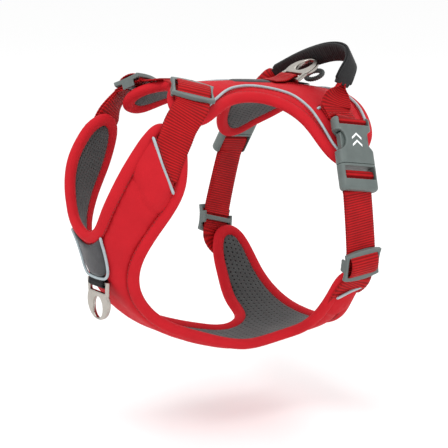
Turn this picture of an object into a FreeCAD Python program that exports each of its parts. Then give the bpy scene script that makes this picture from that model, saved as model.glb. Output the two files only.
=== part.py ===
import FreeCAD, Part
import math
import os

# No-pull dog harness, millimetres.
# The dog faces -Y, its tail is +Y and +Z is up.  The dog's left side is +X.
# The origin lies inside the dog's trunk, on the middle plane.

Vector = FreeCAD.Vector

# ---- driving dimensions ------------------------------------------------------------------

WEBBING_WIDTH = 25.0
WEBBING = 1.5
LINING = 0.9
FOAM = 3.0
SHELL = 0.9
LAYER_GAP = 0.1
PANEL = LINING + FOAM + SHELL + 2 * LAYER_GAP
BINDING_WIDTH = 6.6
SEAM_GAP = 0.2
PIPING = 2.0
TOUCH = 0.3
BAND_STEP = 5.0

HOOP_STEP = 20.0

# Trunk stations from the rear hoop to the neck: top y and z, bottom y and z, half width,
# outward curl of the lower edges, and sideways skew of the hoop.
STATIONS = [
    (108, 90, 102, -80, 90, 0.0, 0.09),
    (78, 97, 72, -86, 93, 0.0, 0.09),
    (46, 101.5, 40, -90.5, 90, 0.0, 0.09),
    (18, 104.5, 0, -91.5, 82, 1.5, 0.06),
    (-6, 106, -40, -80, 70, 1.0, 0.03),
    (-24, 107, -76, -60, 60, 4.0, 0.0),
    (-38, 108, -102, -33, 53, 3.0, 0.0),
    (-50, 109, -119, 1, 46, 0.0, 0.0),
    (-62, 109, -133, 34, 39, 0.0, 0.0),
    (-75, 108, -145, 67, 32, 0.0, 0.0),
]

# Panel outlines as (station, degrees from the spine).  The breast plate hangs a little askew,
# so each of its halves has its own; the saddle and the patch mirror theirs.
CHEST_LEFT = [
    (7.35, 180), (7.42, 165), (7.72, 150), (7.98, 136), (8.25, 118), (8.45, 98), (8.5, 78),
    (8.3, 66), (7.6, 61.5), (6.95, 66), (6.6, 76), (6.38, 88), (6.37, 101), (6.42, 116),
    (6.38, 130), (6.2, 143), (5.85, 152), (5.35, 156), (4.6, 157), (3.8, 157.5), (3.0, 158),
    (2.4, 158), (2.08, 155), (1.95, 146), (1.9, 132), (1.85, 120), (1.7, 112), (1.37, 110),
    (1.1, 114), (1.02, 125), (0.87, 139), (0.66, 154), (0.53, 168), (0.48, 180),
]
CHEST_RIGHT = [
    (7.35, 180), (7.45, 165), (7.55, 150), (7.85, 133), (8.15, 114), (8.32, 95), (8.35, 77),
    (8.05, 66), (7.4, 63), (6.7, 68), (6.35, 77), (6.22, 87), (6.25, 100), (6.32, 115),
    (6.32, 128), (6.15, 140), (5.8, 148), (5.3, 153), (4.6, 156), (3.8, 157.5), (3.0, 160),
    (2.5, 163.5), (2.24, 161), (2.14, 150), (2.02, 132), (1.9, 118), (1.68, 111), (1.3, 110),
    (0.98, 114), (0.78, 122), (0.68, 138), (0.6, 154), (0.52, 168), (0.48, 180),
]
BACK_HALF = [
    (7.3, 0), (7.65, 14), (8.0, 28), (7.95, 41), (7.5, 50), (6.8, 51), (6.1, 46.5),
    (5.3, 37), (4.5, 28), (3.8, 23.5), (3.1, 24), (2.6, 30), (2.3, 39), (2.15, 48),
    (1.95, 56), (1.6, 61), (1.2, 60), (0.8, 54), (0.4, 46), (0.1, 34), (-0.1, 20),
    (-0.15, 0),
]
CHEST_SPAN = (0.2, 9.0, 50, 310)
BACK_SPAN = (-0.4, 8.3, -70, 70)
OUTLINE_PIECES = 24
OUTLINE_SAMPLES = 96

# Sides: +1 is the dog's left.  The straps hang a little askew, so each has its own stations.
SIDES = {"left": 1, "right": -1}
BUCKLE_STATION = {"left": 1.47, "right": 1.02}
GIRTH_SLIDER = {"left": (1.36, 104.6), "right": (1.55, 105.5)}
GIRTH_TAIL = {"left": 0.11, "right": -0.06}
NECK_SLIDER = {"left": (6.94, 33), "right": (6.92, 36)}
NECK_TILT = 11.0
NECK_STRAP_START = 4.5
NECK_SKEW = 0.3
NECK_RUN = {
    "left": [(7.43, 60), (7.45, 71), (7.42, 83), (7.3, 96)],
    "right": [(7.26, 62), (7.22, 72), (7.2, 83), (7.2, 96)],
}

# Straps: places along a slider or a buckle, (place, height) pairs, or heights over the trunk.
GIRTH_OVER_SLIDER = (-15, -8, 0, 10, 20)
GIRTH_INTO_PLUG = (-22, -16, -10.1)
RETURN_UNDER_SLIDER = (4.2, 12)
RETURN_FROM_PLUG = (-20.5, -16, -12.3)
GIRTH_HEIGHT = 5.3
GIRTH_TAIL_ANGLES = (25, 18)
PLUG_STRAP_HEIGHT = 3.1
PLUG_RETURN_HEIGHT = 0.9
NECK_OVER_SLIDER = ((-13, -1.2), (-7, -0.35), (0, 0), (6, 0), (15, -0.5))
NECK_HEIGHTS = (10.6, 8.2, 6.2, 5.3)
NECK_START_HEIGHT = 6.6
NECK_RETURN = (4.6, 15)
NECK_RETURN_HEIGHTS = (8.2, 6.0)

# Runs over the trunk, as (degrees or stations past the piece's own place, height).
HANDLE_FOOT_RUN = ((3.5, 7.3), (0.5, 7.3), (-2.5, 7.7), (-4.8, 9.0))
ANCHOR_RUN = ((-6, 5.2), (-1, 5.2), (2, 5.4))
TOP_KEEPER_RUN = ((0.6, 7.0), (0.4, 7.1), (0.2, 8.2))
FRONT_KEEPER_RUN = ((0.42, 7.0), (0.25, 7.6))
TAG_TAB_RUN = (0.36, 0.22, 0.1)

BUCKLE_ANGLE = 62.5
BUCKLE_OFFSET = PANEL + TOUCH
BUCKLE_HALF_WIDTH = 16.3
BUCKLE_DEPTH = 11.0
FEMALE_LENGTH = 37.5
MALE_LENGTH = 20.5
BAR_RADIUS = 2.0
ARM_OUTER = 12.6
ARM_INNER = 7.0
ARM_LENGTH = 25.0

SLIDER_HALF_WIDTH = 16.5
SLIDER_HALF_LENGTH = 12.5
SLIDER_WINDOW = (13.3, 8.2)
SLIDER_THICKNESS = 3.4
SLIDER_EAR = 0.84
GIRTH_SLIDER_OFFSET = 6.6
NECK_SLIDER_OFFSET = 11.9

RING_WIDTH = 27.0
RING_LENGTH = 29.0
RING_THICKNESS = 3.4
KEEPER_WIDTH = 18.5
TOP_RING = (1.5, 65.0)
FRONT_RING = 6.3
TAG = (0.86, 62.0)

HANDLE_WIDTH = 14.0
HANDLE_THICKNESS = 4.2
HANDLE_LEAN = 62.0
HANDLE_ARCH = [
    (-44, 87.3, 104.8), (-20, 93, 117.4), (5, 91.7, 125.8), (25, 89.7, 130), (40, 88.3, 129.8),
    (48, 85.6, 124.3), (50, 79.4, 115.6), (49.5, 75, 107.5),
]
HANDLE_FOOT = {"left": (1.26, 36.5), "right": (1.0, 34)}
HANDLE_PINCH = 9.0
TUNNEL = 2.0
SLEEVE_WALL = (HANDLE_THICKNESS - TUNNEL) / 2
SLEEVE_EDGE = 1.6
CORE_HEIGHT = (HANDLE_THICKNESS - WEBBING) / 2

# Trims over the panels, as (station, degrees from the spine).
EDGE_PIPING = [
    (1.7, 55), (1.82, 50), (1.9, 40), (1.97, 30), (2.2, 20), (2.75, 14), (3.4, 12),
    (4.2, 16), (5.2, 26.5), (6.0, 36), (6.7, 40.5), (7.3, 40), (7.65, 31),
]
FOOT_PIPING = [(1.74, 31.5), (1.45, 29.5), (1.1, 30), (0.85, 32)]
REAR_PIPING = [(0.42, -38), (0.2, -24), (0.12, -8), (0.12, 8), (0.2, 24), (0.42, 38)]
LABEL = [(2.15, 0), (2.6, 0), (3.05, 0), (3.45, 0)]
LABEL_WIDTH = 13.0
PATCH_HALF = [
    (7.1, 180), (7.13, 171), (7.2, 163), (7.2, 160.4), (7.02, 161.5), (6.7, 163.7), (6.54, 166),
    (6.46, 170), (6.44, 180),
]
PATCH_PIPING = [
    (7.26, 158.4), (7.08, 160), (6.7, 162.5), (6.5, 164.7), (6.41, 168.5), (6.4, 174),
]
CHEST_MOUTH = [(8.12, 81), (7.35, 90), (6.52, 97)]
CHEST_FLAP = CHEST_MOUTH + [(6.5, 108), (6.8, 116), (7.4, 116), (7.88, 109), (8.12, 95)]
CHEST_FLAP_SHIFT = {"left": 0.18, "right": 0.0}
BELLY_MOUTH = [(1.75, 121.5), (1.4, 119), (1.08, 118)]
BELLY_FLAP = BELLY_MOUTH + [(1.02, 126), (1.12, 136), (1.6, 137), (1.76, 129)]
CHEST_FLAP_OFFSET = 7.1
BELLY_FLAP_OFFSET = 7.1
FLAP = 0.8


# ---- trunk surface -----------------------------------------------------------------------

def through(values, t):
    """Smooth curve through the station values, at station t."""
    last = len(values) - 1
    i = int(max(0, min(last - 1, math.floor(t))))
    f = t - i
    a = values[i - 1] if i > 0 else 2 * values[0] - values[1]
    b = values[i]
    c = values[i + 1]
    d = values[i + 2] if i + 2 <= last else 2 * values[last] - values[last - 1]
    square = (2 * a - 5 * b + 4 * c - d) * f * f
    cube = (3 * b - a - 3 * c + d) * f * f * f
    return 0.5 * (2 * b + (c - a) * f + square + cube)


COLUMNS = list(zip(*STATIONS))


def hoop(t, degrees):
    """Point of the bare trunk at a station and an angle from the spine, and the curl."""
    top_y, top_z, low_y, low_z, half, curl, skew = [through(c, t) for c in COLUMNS]
    turn = math.radians(degrees)
    x = half * math.sin(turn)
    y = (top_y + low_y) / 2 + (top_y - low_y) / 2 * math.cos(turn) - skew * x
    z = (top_z + low_z) / 2 + (top_z - low_z) / 2 * math.cos(turn)
    return Vector(x, y, z), curl


def outward(t, degrees):
    """Unit normal of the trunk, pointing away from the dog."""
    along = hoop(t + 0.01, degrees)[0] - hoop(t - 0.01, degrees)[0]
    around = hoop(t, degrees + 1)[0] - hoop(t, degrees - 1)[0]
    return along.cross(around).normalize()


def body(t, degrees, offset=0.0):
    """Point at a height above the dog's coat."""
    point, curl = hoop(t, degrees)
    edge = (180 - abs(degrees)) / 20.0 if degrees <= 180 else (degrees - 180) / 20.0
    lift = offset + max(0.0, curl) * edge * edge * math.exp(1 - edge * edge)
    return point + outward(t, degrees) * lift


# ---- panels ------------------------------------------------------------------------------

def spline_knots(low, high, poles):
    """Clamped cubic knots, their multiplicities and the places of the poles."""
    knots = [low + (high - low) * i / (poles - 3) for i in range(poles - 2)]
    mults = [4] + [1] * (poles - 4) + [4]
    flat = [low] * 3 + knots + [high] * 3
    places = [sum(flat[i + 1:i + 4]) / 3 for i in range(poles)]
    return knots, mults, places


def trunk_surface(span, offset):
    """B-spline surface of the trunk at one offset; angles count in hoop steps."""
    t_low, t_high, a_low, a_high = span
    t_knots, t_mults, t_places = spline_knots(t_low, t_high, 26)
    a_knots, a_mults, a_places = spline_knots(a_low / HOOP_STEP, a_high / HOOP_STEP, 30)
    poles = [[body(t, a * HOOP_STEP, offset) for a in a_places] for t in t_places]
    surface = Part.BSplineSurface()
    surface.buildFromPolesMultsKnots(
        poles, t_mults, a_mults, t_knots, a_knots, False, False, 3, 3)
    return surface


def closed_curve(points):
    curve = Part.Geom2d.BSplineCurve2d()
    flat = [FreeCAD.Base.Vector2d(t, a / HOOP_STEP) for t, a in points]
    curve.interpolate(Points=flat, PeriodicFlag=True)
    return curve


def whole_outline(left, right, middle_last):
    """Whole outline from its halves, which meet at the angle middle_last."""
    mirror = [(t, 2 * middle_last - a) for t, a in right[-2:0:-1]]
    return left + mirror


def inset_outline(points, distance):
    """The outline moved inward by a true distance along the trunk."""
    curve = closed_curve(points)
    first = curve.FirstParameter
    length = curve.LastParameter - first
    samples = []
    for i in range(OUTLINE_SAMPLES):
        p = curve.value(first + length * i / OUTLINE_SAMPLES)
        samples.append((p.x, p.y * HOOP_STEP))
    area = 0.0
    for i in range(OUTLINE_SAMPLES):
        t, a = samples[i]
        u, b = samples[(i + 1) % OUTLINE_SAMPLES]
        area += t * b - u * a
    turn = 1 if area > 0 else -1
    moved = []
    for i in range(OUTLINE_SAMPLES):
        t, a = samples[i]
        before = samples[i - 1]
        after = samples[(i + 1) % OUTLINE_SAMPLES]
        run = body(*after) - body(*before)
        inward = outward(t, a).cross(run).normalize() * turn * distance
        moved.append(shifted(t, a, inward))
    return moved


def shifted(t, degrees, move):
    """The station and angle reached by a small move along the trunk."""
    along = (body(t + 0.05, degrees) - body(t - 0.05, degrees)) * 10
    around = (body(t, degrees + 1) - body(t, degrees - 1)) * 0.5
    aa = along.dot(along)
    rr = around.dot(around)
    ar = along.dot(around)
    ma = move.dot(along)
    mr = move.dot(around)
    scale = aa * rr - ar * ar
    return t + (ma * rr - mr * ar) / scale, degrees + (mr * aa - ma * ar) / scale


def layer(span, outlines, low, high):
    """Solid between two offsets inside the first outline and outside any others."""
    curves = [closed_curve(points) for points in outlines]
    faces = []
    rims = []
    for offset in (low, high):
        surface = trunk_surface(span, offset)
        wires = []
        edges = []
        for curve in curves:
            first = curve.FirstParameter
            step = (curve.LastParameter - first) / OUTLINE_PIECES
            loop = [curve.toShape(surface, first + step * i, first + step * (i + 1))
                    for i in range(OUTLINE_PIECES)]
            wires.append(Part.Wire(loop))
            edges += loop
        face = Part.Face(surface, wires[0])
        face.validate()
        for wire in wires[1:]:
            hole = Part.Face(surface, wire)
            hole.validate()
            face = face.cut(hole).Faces[0]
        faces.append(face)
        rims.append(edges)
    walls = [Part.makeRuledSurface(a, b) for a, b in zip(*rims)]
    skin = Part.makeCompound(faces + walls)
    skin.sewShape()
    return Part.Solid(skin.Shells[0])


# ---- bands: webbing, piping and labels ---------------------------------------------------

def band(path, width, thickness, end_width=None):
    """Flat band whose inner face follows a list of (point, outward normal)."""
    path = even_path(path)
    sections = []
    last = len(path) - 1
    for i, (point, normal) in enumerate(path):
        before = path[max(0, i - 1)][0]
        after = path[min(last, i + 1)][0]
        run = (after - before).normalize()
        wide = width if end_width is None else width + (end_width - width) * i / last
        across = run.cross(normal).normalize() * (wide / 2)
        up = across.cross(run).normalize() * thickness
        corners = [point - across, point + across, point + across + up, point - across + up]
        sections.append(Part.makePolygon(corners + corners[:1]))
    return Part.makeLoft(sections, True, False)


def even_path(path):
    """The same path with sections at an even spacing along a smooth line."""
    runs = [0.0]
    for (a, _), (b, _) in zip(path, path[1:]):
        runs.append(runs[-1] + (b - a).Length)
    count = max(3, round(runs[-1] / BAND_STEP))
    even = []
    for i in range(count + 1):
        target = runs[-1] * i / count
        k = max(j for j in range(len(path) - 1) if runs[j] <= target + 1e-9)
        f = (target - runs[k]) / (runs[k + 1] - runs[k])
        even.append((blend(path, runs, k, f), direction(path, k, f)))
    return even


def slope(path, runs, k):
    """Direction of the path at one of its points, per millimetre."""
    low = max(0, k - 1)
    high = min(len(path) - 1, k + 1)
    return (path[high][0] - path[low][0]) / (runs[high] - runs[low])


def blend(path, runs, k, f):
    """Cubic between point k and the next one."""
    length = runs[k + 1] - runs[k]
    a = path[k][0]
    b = path[k + 1][0]
    leave = slope(path, runs, k) * length
    arrive = slope(path, runs, k + 1) * length
    return (a * (2 * f ** 3 - 3 * f ** 2 + 1) + leave * (f ** 3 - 2 * f ** 2 + f)
            + b * (3 * f ** 2 - 2 * f ** 3) + arrive * (f ** 3 - f ** 2))


def direction(path, k, f):
    return (path[k][1] * (1 - f) + path[k + 1][1] * f).normalize()


def on_body(points, side=1):
    """Path over the trunk from (station, degrees, offset) points."""
    return [(body(t, a * side, h), outward(t, a * side)) for t, a, h in points]


def spread(points, count):
    """More (station, degrees, offset) points along a smooth line through a few."""
    columns = list(zip(*points))
    last = len(points) - 1
    return [tuple(through(c, last * i / (count - 1)) for c in columns) for i in range(count)]


# ---- hardware frames ---------------------------------------------------------------------

class Seat:
    """Local frame: u across the webbing, v along it, w away from the dog."""

    def __init__(self, origin, along, normal):
        self.origin = origin
        self.w = Vector(normal).normalize()
        self.v = (along - self.w * along.dot(self.w)).normalize()
        self.u = self.v.cross(self.w)

    def point(self, u, v, w):
        return self.origin + self.u * u + self.v * v + self.w * w

    def place(self, shape):
        matrix = FreeCAD.Matrix(
            self.u.x, self.v.x, self.w.x, self.origin.x,
            self.u.y, self.v.y, self.w.y, self.origin.y,
            self.u.z, self.v.z, self.w.z, self.origin.z,
            0, 0, 0, 1)
        moved = shape.copy()
        moved.Placement = FreeCAD.Placement(matrix).multiply(shape.Placement)
        return moved


def buckle_seat(side, station):
    upper = body(station - 0.08, (BUCKLE_ANGLE - 12) * side)
    lower = body(station + 0.08, (BUCKLE_ANGLE + 12) * side)
    origin = body(station, BUCKLE_ANGLE * side, BUCKLE_OFFSET)
    return Seat(origin, upper - lower, outward(station, BUCKLE_ANGLE * side))


def girth_slider_seat(side, place, buckle):
    t, a = place
    origin = body(t, a * side, GIRTH_SLIDER_OFFSET)
    target = buckle.point(0, -MALE_LENGTH, 2.8)
    return Seat(origin, target - origin, outward(t, a * side))


def neck_slider_seat(side, place, run):
    """The slider rides a little flatter than the panel under it."""
    t, a = place
    origin = body(t, a * side, NECK_SLIDER_OFFSET)
    ahead = body(t + NECK_SKEW * (run[0][0] - t), run[0][1] * side, NECK_SLIDER_OFFSET)
    return Seat(origin, ahead - origin, outward(t, (a - NECK_TILT) * side))


# ---- buckle ------------------------------------------------------------------------------

def box(u0, u1, v0, v1, w0, w1):
    return Part.makeBox(u1 - u0, v1 - v0, w1 - w0, Vector(u0, v0, w0))


def rounded(shape, radius, axis):
    """Round the long edges of a box that run along one axis."""
    edges = []
    for edge in shape.Edges:
        run = edge.Vertexes[1].Point - edge.Vertexes[0].Point
        if abs(abs(run.normalize().dot(axis)) - 1) < 1e-6:
            edges.append(edge)
    return shape.makeFillet(radius, edges)


def rounded_end(shape, v):
    """Round the rim of the end face at v."""
    rim = [edge for edge in shape.Edges if abs(edge.CenterOfMass.y - v) < 1e-6]
    return shape.makeFillet(BUCKLE_END_ROUND, rim)


U_AXIS = Vector(1, 0, 0)
V_AXIS = Vector(0, 1, 0)
W_AXIS = Vector(0, 0, 1)
BAR_HEIGHT = 5.5
FEMALE_BAR = 34.6
MALE_BAR = -7.9
EYE_INNER = BAR_RADIUS + 0.2
EYE_OUTER = EYE_INNER + WEBBING
CAVITY = (12.9, 26.5, 2.6, 8.6)
CHEEK_CUT = (17.6, 18.6, 8.4)
BUCKLE_ROUND = 5.2
BUCKLE_END_ROUND = 3.2
SLOT_HALF = 13.4


def cross_bar(v, w, half_width, radius=BAR_RADIUS):
    return Part.makeCylinder(radius, 2 * half_width, Vector(-half_width, v, w), U_AXIS)


def buckle_female():
    half = BUCKLE_HALF_WIDTH
    shape = box(-half, half, 0, FEMALE_LENGTH, 0, BUCKLE_DEPTH)
    shape = rounded_end(rounded(shape, BUCKLE_ROUND, V_AXIS), FEMALE_LENGTH)
    inner, reach, low, high = CAVITY
    shape = shape.cut(box(-inner, inner, -1, reach, low, high))
    slot = box(-SLOT_HALF, SLOT_HALF, 30.4, FEMALE_LENGTH + 5, -1, BUCKLE_DEPTH + 1)
    shape = shape.cut(slot)
    across, up, radius = CHEEK_CUT
    for side in (-1, 1):
        shape = shape.cut(Part.makeCylinder(radius, 20, Vector(side * across, up, -2)))
    bar = cross_bar(FEMALE_BAR, BAR_HEIGHT, SLOT_HALF + 1)
    return shape.fuse(bar).removeSplitter()


def buckle_male():
    half = BUCKLE_HALF_WIDTH
    shape = box(-half, half, -MALE_LENGTH, -0.3, 0, BUCKLE_DEPTH)
    shape = rounded_end(rounded(shape, BUCKLE_ROUND, V_AXIS), -MALE_LENGTH)
    window = box(-SLOT_HALF, SLOT_HALF, -12.2, -2.4, -1, BUCKLE_DEPTH + 1)
    channel = box(-SLOT_HALF, SLOT_HALF, -MALE_LENGTH - 1, -12.1, -1, 5.4)
    shape = shape.cut(window).cut(channel)
    shape = shape.fuse(cross_bar(MALE_BAR, BAR_HEIGHT, SLOT_HALF + 1))
    guide = box(-2.4, 2.4, -1.5, 22, 3.4, 7.8)
    return shape.fuse(guide).removeSplitter()


def buckle_arm(side):
    """Springy arm of the male half, pressed through the opening in the female's cheek."""
    inner = min(side * ARM_INNER, side * ARM_OUTER)
    outer = max(side * ARM_INNER, side * ARM_OUTER)
    head = box(inner, outer, 10.0, ARM_LENGTH, 3.0, 8.2)
    head = rounded(head, 1.6, W_AXIS)
    stem = box(side * 9.4 - 1.4, side * 9.4 + 1.4, 0.0, 11.0, 3.4, 7.8)
    return head.fuse(stem).removeSplitter()


def eye(v, w, half_width):
    """Webbing wrapped round a cross bar."""
    outer = cross_bar(v, w, half_width, EYE_OUTER)
    return outer.cut(cross_bar(v, w, half_width + 1, EYE_INNER))


# ---- slider ------------------------------------------------------------------------------

FRAME_LOW = WEBBING + 0.3
FRAME_HIGH = FRAME_LOW + SLIDER_THICKNESS
CORE_LOW = -2.8
CORE_HIGH = -1.2
LOOP_LOW = -4.1
LOOP_HIGH = -0.15
LOOP_HALF = 3.5
KEEPER_INNER = RING_THICKNESS / 2 + 0.7


def slider_outline():
    """Bowed bars above and below, ears at the corners and a waist at the sides."""
    a = SLIDER_HALF_WIDTH
    b = SLIDER_HALF_LENGTH
    ear = SLIDER_EAR
    corners = [Vector(-a, b * ear, 0), Vector(a, b * ear, 0),
               Vector(a, -b * ear, 0), Vector(-a, -b * ear, 0)]
    bows = [Vector(0, b, 0), Vector(a - 1.4, 0, 0), Vector(0, -b, 0), Vector(1.4 - a, 0, 0)]
    arcs = []
    for i in range(4):
        arcs.append(Part.Arc(corners[i], bows[i], corners[(i + 1) % 4]).toShape())
    return Part.Face(Part.Wire(arcs))


def slider():
    plate = slider_outline().extrude(Vector(0, 0, FRAME_HIGH - FRAME_LOW))
    plate.translate(Vector(0, 0, FRAME_LOW))
    half, reach = SLIDER_WINDOW
    plate = plate.cut(box(-half, half, -reach, reach, 0, FRAME_HIGH + 1))
    shape = plate
    for side in (-1, 1):
        inner = min(side * half, side * (half + 1.9))
        rail = box(inner, inner + 1.9, -5, 5, CORE_LOW, FRAME_LOW + 1)
        shape = shape.fuse(rail)
    core = box(-half - 1, half + 1, -2.0, 2.0, CORE_LOW, CORE_HIGH)
    return shape.fuse(core).removeSplitter()


def strap_loop():
    """The webbing's free end, sewn round the slider's centre bar."""
    half = WEBBING_WIDTH / 2
    shape = box(-half, half, -LOOP_HALF, LOOP_HALF, LOOP_LOW, LOOP_HIGH)
    hole = box(-half - 1, half + 1, -2.2, 2.2, CORE_LOW - 0.1, CORE_HIGH + 0.1)
    return shape.cut(hole)


# ---- handle ------------------------------------------------------------------------------

def handle_path(offset):
    """The arch at a height above the sleeve's inner face, with normals away from the dog."""
    lean = math.radians(HANDLE_LEAN)
    across = Vector(0, math.cos(lean), -math.sin(lean))
    points = [Vector(*p) for p in HANDLE_ARCH]
    path = []
    for i, point in enumerate(points):
        run = points[min(len(points) - 1, i + 1)] - points[max(0, i - 1)]
        normal = run.cross(across).normalize()
        path.append((point + normal * (offset - HANDLE_THICKNESS / 2), normal))
    return path


def handle_sleeve():
    sleeve = band(handle_path(0), HANDLE_WIDTH, HANDLE_THICKNESS)
    tunnel = band(handle_path(SLEEVE_WALL), HANDLE_WIDTH - 2 * SLEEVE_EDGE, TUNNEL)
    return sleeve.cut(tunnel)


def handle_core():
    return band(handle_path(CORE_HEIGHT), HANDLE_WIDTH - 2 * SLEEVE_EDGE - 0.6, WEBBING)


def handle_end(name, side):
    """Webbing fanned out flat on the panel and pinched where it enters the sleeve."""
    arch = handle_path(CORE_HEIGHT)
    point, normal = arch[-1] if side > 0 else arch[0]
    neighbour = arch[-2][0] if side > 0 else arch[1][0]
    t, a = HANDLE_FOOT[name]
    foot = on_body([(t, a + past, height) for past, height in HANDLE_FOOT_RUN], side)
    drop = (point - neighbour).normalize()
    path = foot + [(point + drop * 5 + normal, normal), (point + drop * 1.2, normal)]
    return band(path, WEBBING_WIDTH, WEBBING, HANDLE_PINCH)


def buckle_anchor(name, side, buckle):
    """Webbing sewn under the handle's foot and wrapped round the female half's bar."""
    t, a = HANDLE_FOOT[name]
    path = on_body([(t, a + past, height) for past, height in ANCHOR_RUN], side)
    for past in (0.6, -0.4):
        path.append((buckle.point(0, FEMALE_BAR + past, BAR_HEIGHT + EYE_INNER), buckle.w))
    roll = buckle.place(eye(FEMALE_BAR, BAR_HEIGHT, WEBBING_WIDTH / 2))
    return band(path, WEBBING_WIDTH, WEBBING).fuse(roll).removeSplitter()


# ---- rings -------------------------------------------------------------------------------

def leash_ring():
    """Flat cast ring: a bar for the webbing at v = 0, then the eye, narrowing to the tip."""
    half = RING_WIDTH / 2
    thick = RING_THICKNESS
    left = Part.LineSegment(Vector(-half, -thick / 2, 0), Vector(-half + 1.0, 9, 0)).toShape()
    shoulder = Vector(half - 1.0, 9, 0)
    tip = Part.Arc(Vector(-half + 1.0, 9, 0), Vector(0, RING_LENGTH, 0), shoulder).toShape()
    right = Part.LineSegment(shoulder, Vector(half, -thick / 2, 0)).toShape()
    foot = Part.LineSegment(Vector(half, -thick / 2, 0), Vector(-half, -thick / 2, 0)).toShape()
    shape = Part.Face(Part.Wire([left, tip, right, foot])).extrude(Vector(0, 0, thick))
    shape.translate(Vector(0, 0, -thick / 2))
    slot_half = half - 3.2
    shape = shape.cut(box(-slot_half, slot_half, thick / 2, 7.2, -thick, thick))
    eye_hole = Part.Ellipse(Vector(0, 19.3, 0), 8.2, 6.4).toShape()
    turned = eye_hole.rotated(Vector(0, 19.3, 0), W_AXIS, 90)
    hole = Part.Face(Part.Wire([turned])).extrude(Vector(0, 0, 2 * thick))
    hole.translate(Vector(0, 0, -thick))
    shape = shape.cut(hole)
    return shape.makeFillet(0.7, [e for e in shape.Edges if abs(e.CenterOfMass.z) > 1.0])


def keeper(path):
    """Folded tab of webbing: an eye round the ring's bar and a tail sewn to the panel."""
    eye_point, normal = path[-1]
    run = eye_point - path[-2][0]
    seat = Seat(eye_point, run, normal)
    half = KEEPER_WIDTH / 2
    outer = seat.place(cross_bar(0, 0, half, KEEPER_INNER + WEBBING))
    inner = seat.place(cross_bar(0, 0, half + 1, KEEPER_INNER))
    low = [(point - n * WEBBING, n) for point, n in path]
    tail = band(low, KEEPER_WIDTH, 2 * WEBBING)
    return tail.fuse(outer).cut(inner).removeSplitter()


def tag_loop():
    """Oval loop for an identity tag."""
    outer = Part.Ellipse(Vector(0, 0, 0), 8.8, 7.6).toShape()
    inner = Part.Ellipse(Vector(0, 0, 0), 6.0, 4.8).toShape()
    shape = Part.Face(Part.Wire([outer])).extrude(Vector(0, 0, 2.6))
    hole = Part.Face(Part.Wire([inner])).extrude(Vector(0, 0, 2.6))
    shape = shape.cut(hole)
    shape.translate(Vector(0, 6.2, -1.3))
    return shape


def lean_seat(point, lean):
    """Frame at a ring's pivot; lean is measured from straight up, towards the tail."""
    turn = math.radians(lean)
    along = Vector(0, math.sin(turn), math.cos(turn))
    return Seat(point, along, Vector(0, -math.cos(turn), math.sin(turn)))


def build_rings():
    t, lean = TOP_RING
    lift = PANEL + KEEPER_INNER + WEBBING + 0.2
    top = body(t, 0, lift)
    seat = lean_seat(top, lean)
    add("top_leash_ring", seat.place(leash_ring()))
    path = on_body([(t + past, 0, height) for past, height in TOP_KEEPER_RUN])
    add("top_ring_keeper", keeper(path + [(top, outward(t, 0))]))
    t = FRONT_RING
    front = body(t, 180, lift)
    seat = lean_seat(front, 180)
    add("front_leash_ring", seat.place(leash_ring()))
    path = on_body([(t + past, 180, height) for past, height in FRONT_KEEPER_RUN])
    add("front_ring_keeper", keeper(path + [(front, outward(t, 180))]))
    t, lean = TAG
    seat = lean_seat(body(t, 0, lift + 1), lean)
    add("tag_loop", seat.place(tag_loop()))
    path = on_body([(t + past, 0, PANEL + 0.3) for past in TAG_TAB_RUN])
    add("tag_tab", band(path, 8, 1.2))


# ---- build -------------------------------------------------------------------------------

NODES = {}


def add(name, shape):
    NODES[name] = shape


def build_panel(name, span, outline):
    inner = inset_outline(outline, BINDING_WIDTH + SEAM_GAP)
    trim = inset_outline(outline, BINDING_WIDTH)
    foam_low = LINING + LAYER_GAP
    shell_low = foam_low + FOAM + LAYER_GAP
    add(name + "_lining", layer(span, [inner], 0.0, LINING))
    add(name + "_foam", layer(span, [inner], foam_low, foam_low + FOAM))
    add(name + "_shell", layer(span, [inner], shell_low, PANEL))
    add(name + "_binding", layer(span, [outline, trim], 0.0, PANEL))


def build_buckle(name, side, seat):
    add("buckle_female_" + name, seat.place(buckle_female()))
    add("buckle_male_" + name, seat.place(buckle_male()))
    for label, arm_side in (("front", 1), ("rear", -1)):
        add("buckle_arm_" + label + "_" + name, seat.place(buckle_arm(arm_side * side)))


def build_girth_strap(name, side, buckle, seat):
    t, a = GIRTH_SLIDER[name]
    end = t + GIRTH_TAIL[name]
    ends = zip((end + 0.01, end - 0.01), GIRTH_TAIL_ANGLES)
    tail = on_body([(u, a + past, GIRTH_HEIGHT) for u, past in ends], side)
    long_path = tail + [(seat.point(0, v, 0), seat.w) for v in GIRTH_OVER_SLIDER]
    long_path += [(buckle.point(0, v, PLUG_STRAP_HEIGHT), buckle.w) for v in GIRTH_INTO_PLUG]
    roll = buckle.place(eye(MALE_BAR, BAR_HEIGHT, WEBBING_WIDTH / 2))
    strap = band(long_path, WEBBING_WIDTH, WEBBING).fuse(roll).removeSplitter()
    add("girth_strap_" + name, strap)
    back_path = [(seat.point(0, v, -WEBBING - 0.4), seat.w) for v in RETURN_UNDER_SLIDER]
    back_path += [(buckle.point(0, v, PLUG_RETURN_HEIGHT), buckle.w) for v in RETURN_FROM_PLUG]
    add("girth_strap_return_" + name, band(back_path, WEBBING_WIDTH, WEBBING))
    add("girth_slider_" + name, seat.place(slider()))
    add("girth_strap_loop_" + name, seat.place(strap_loop()))


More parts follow.
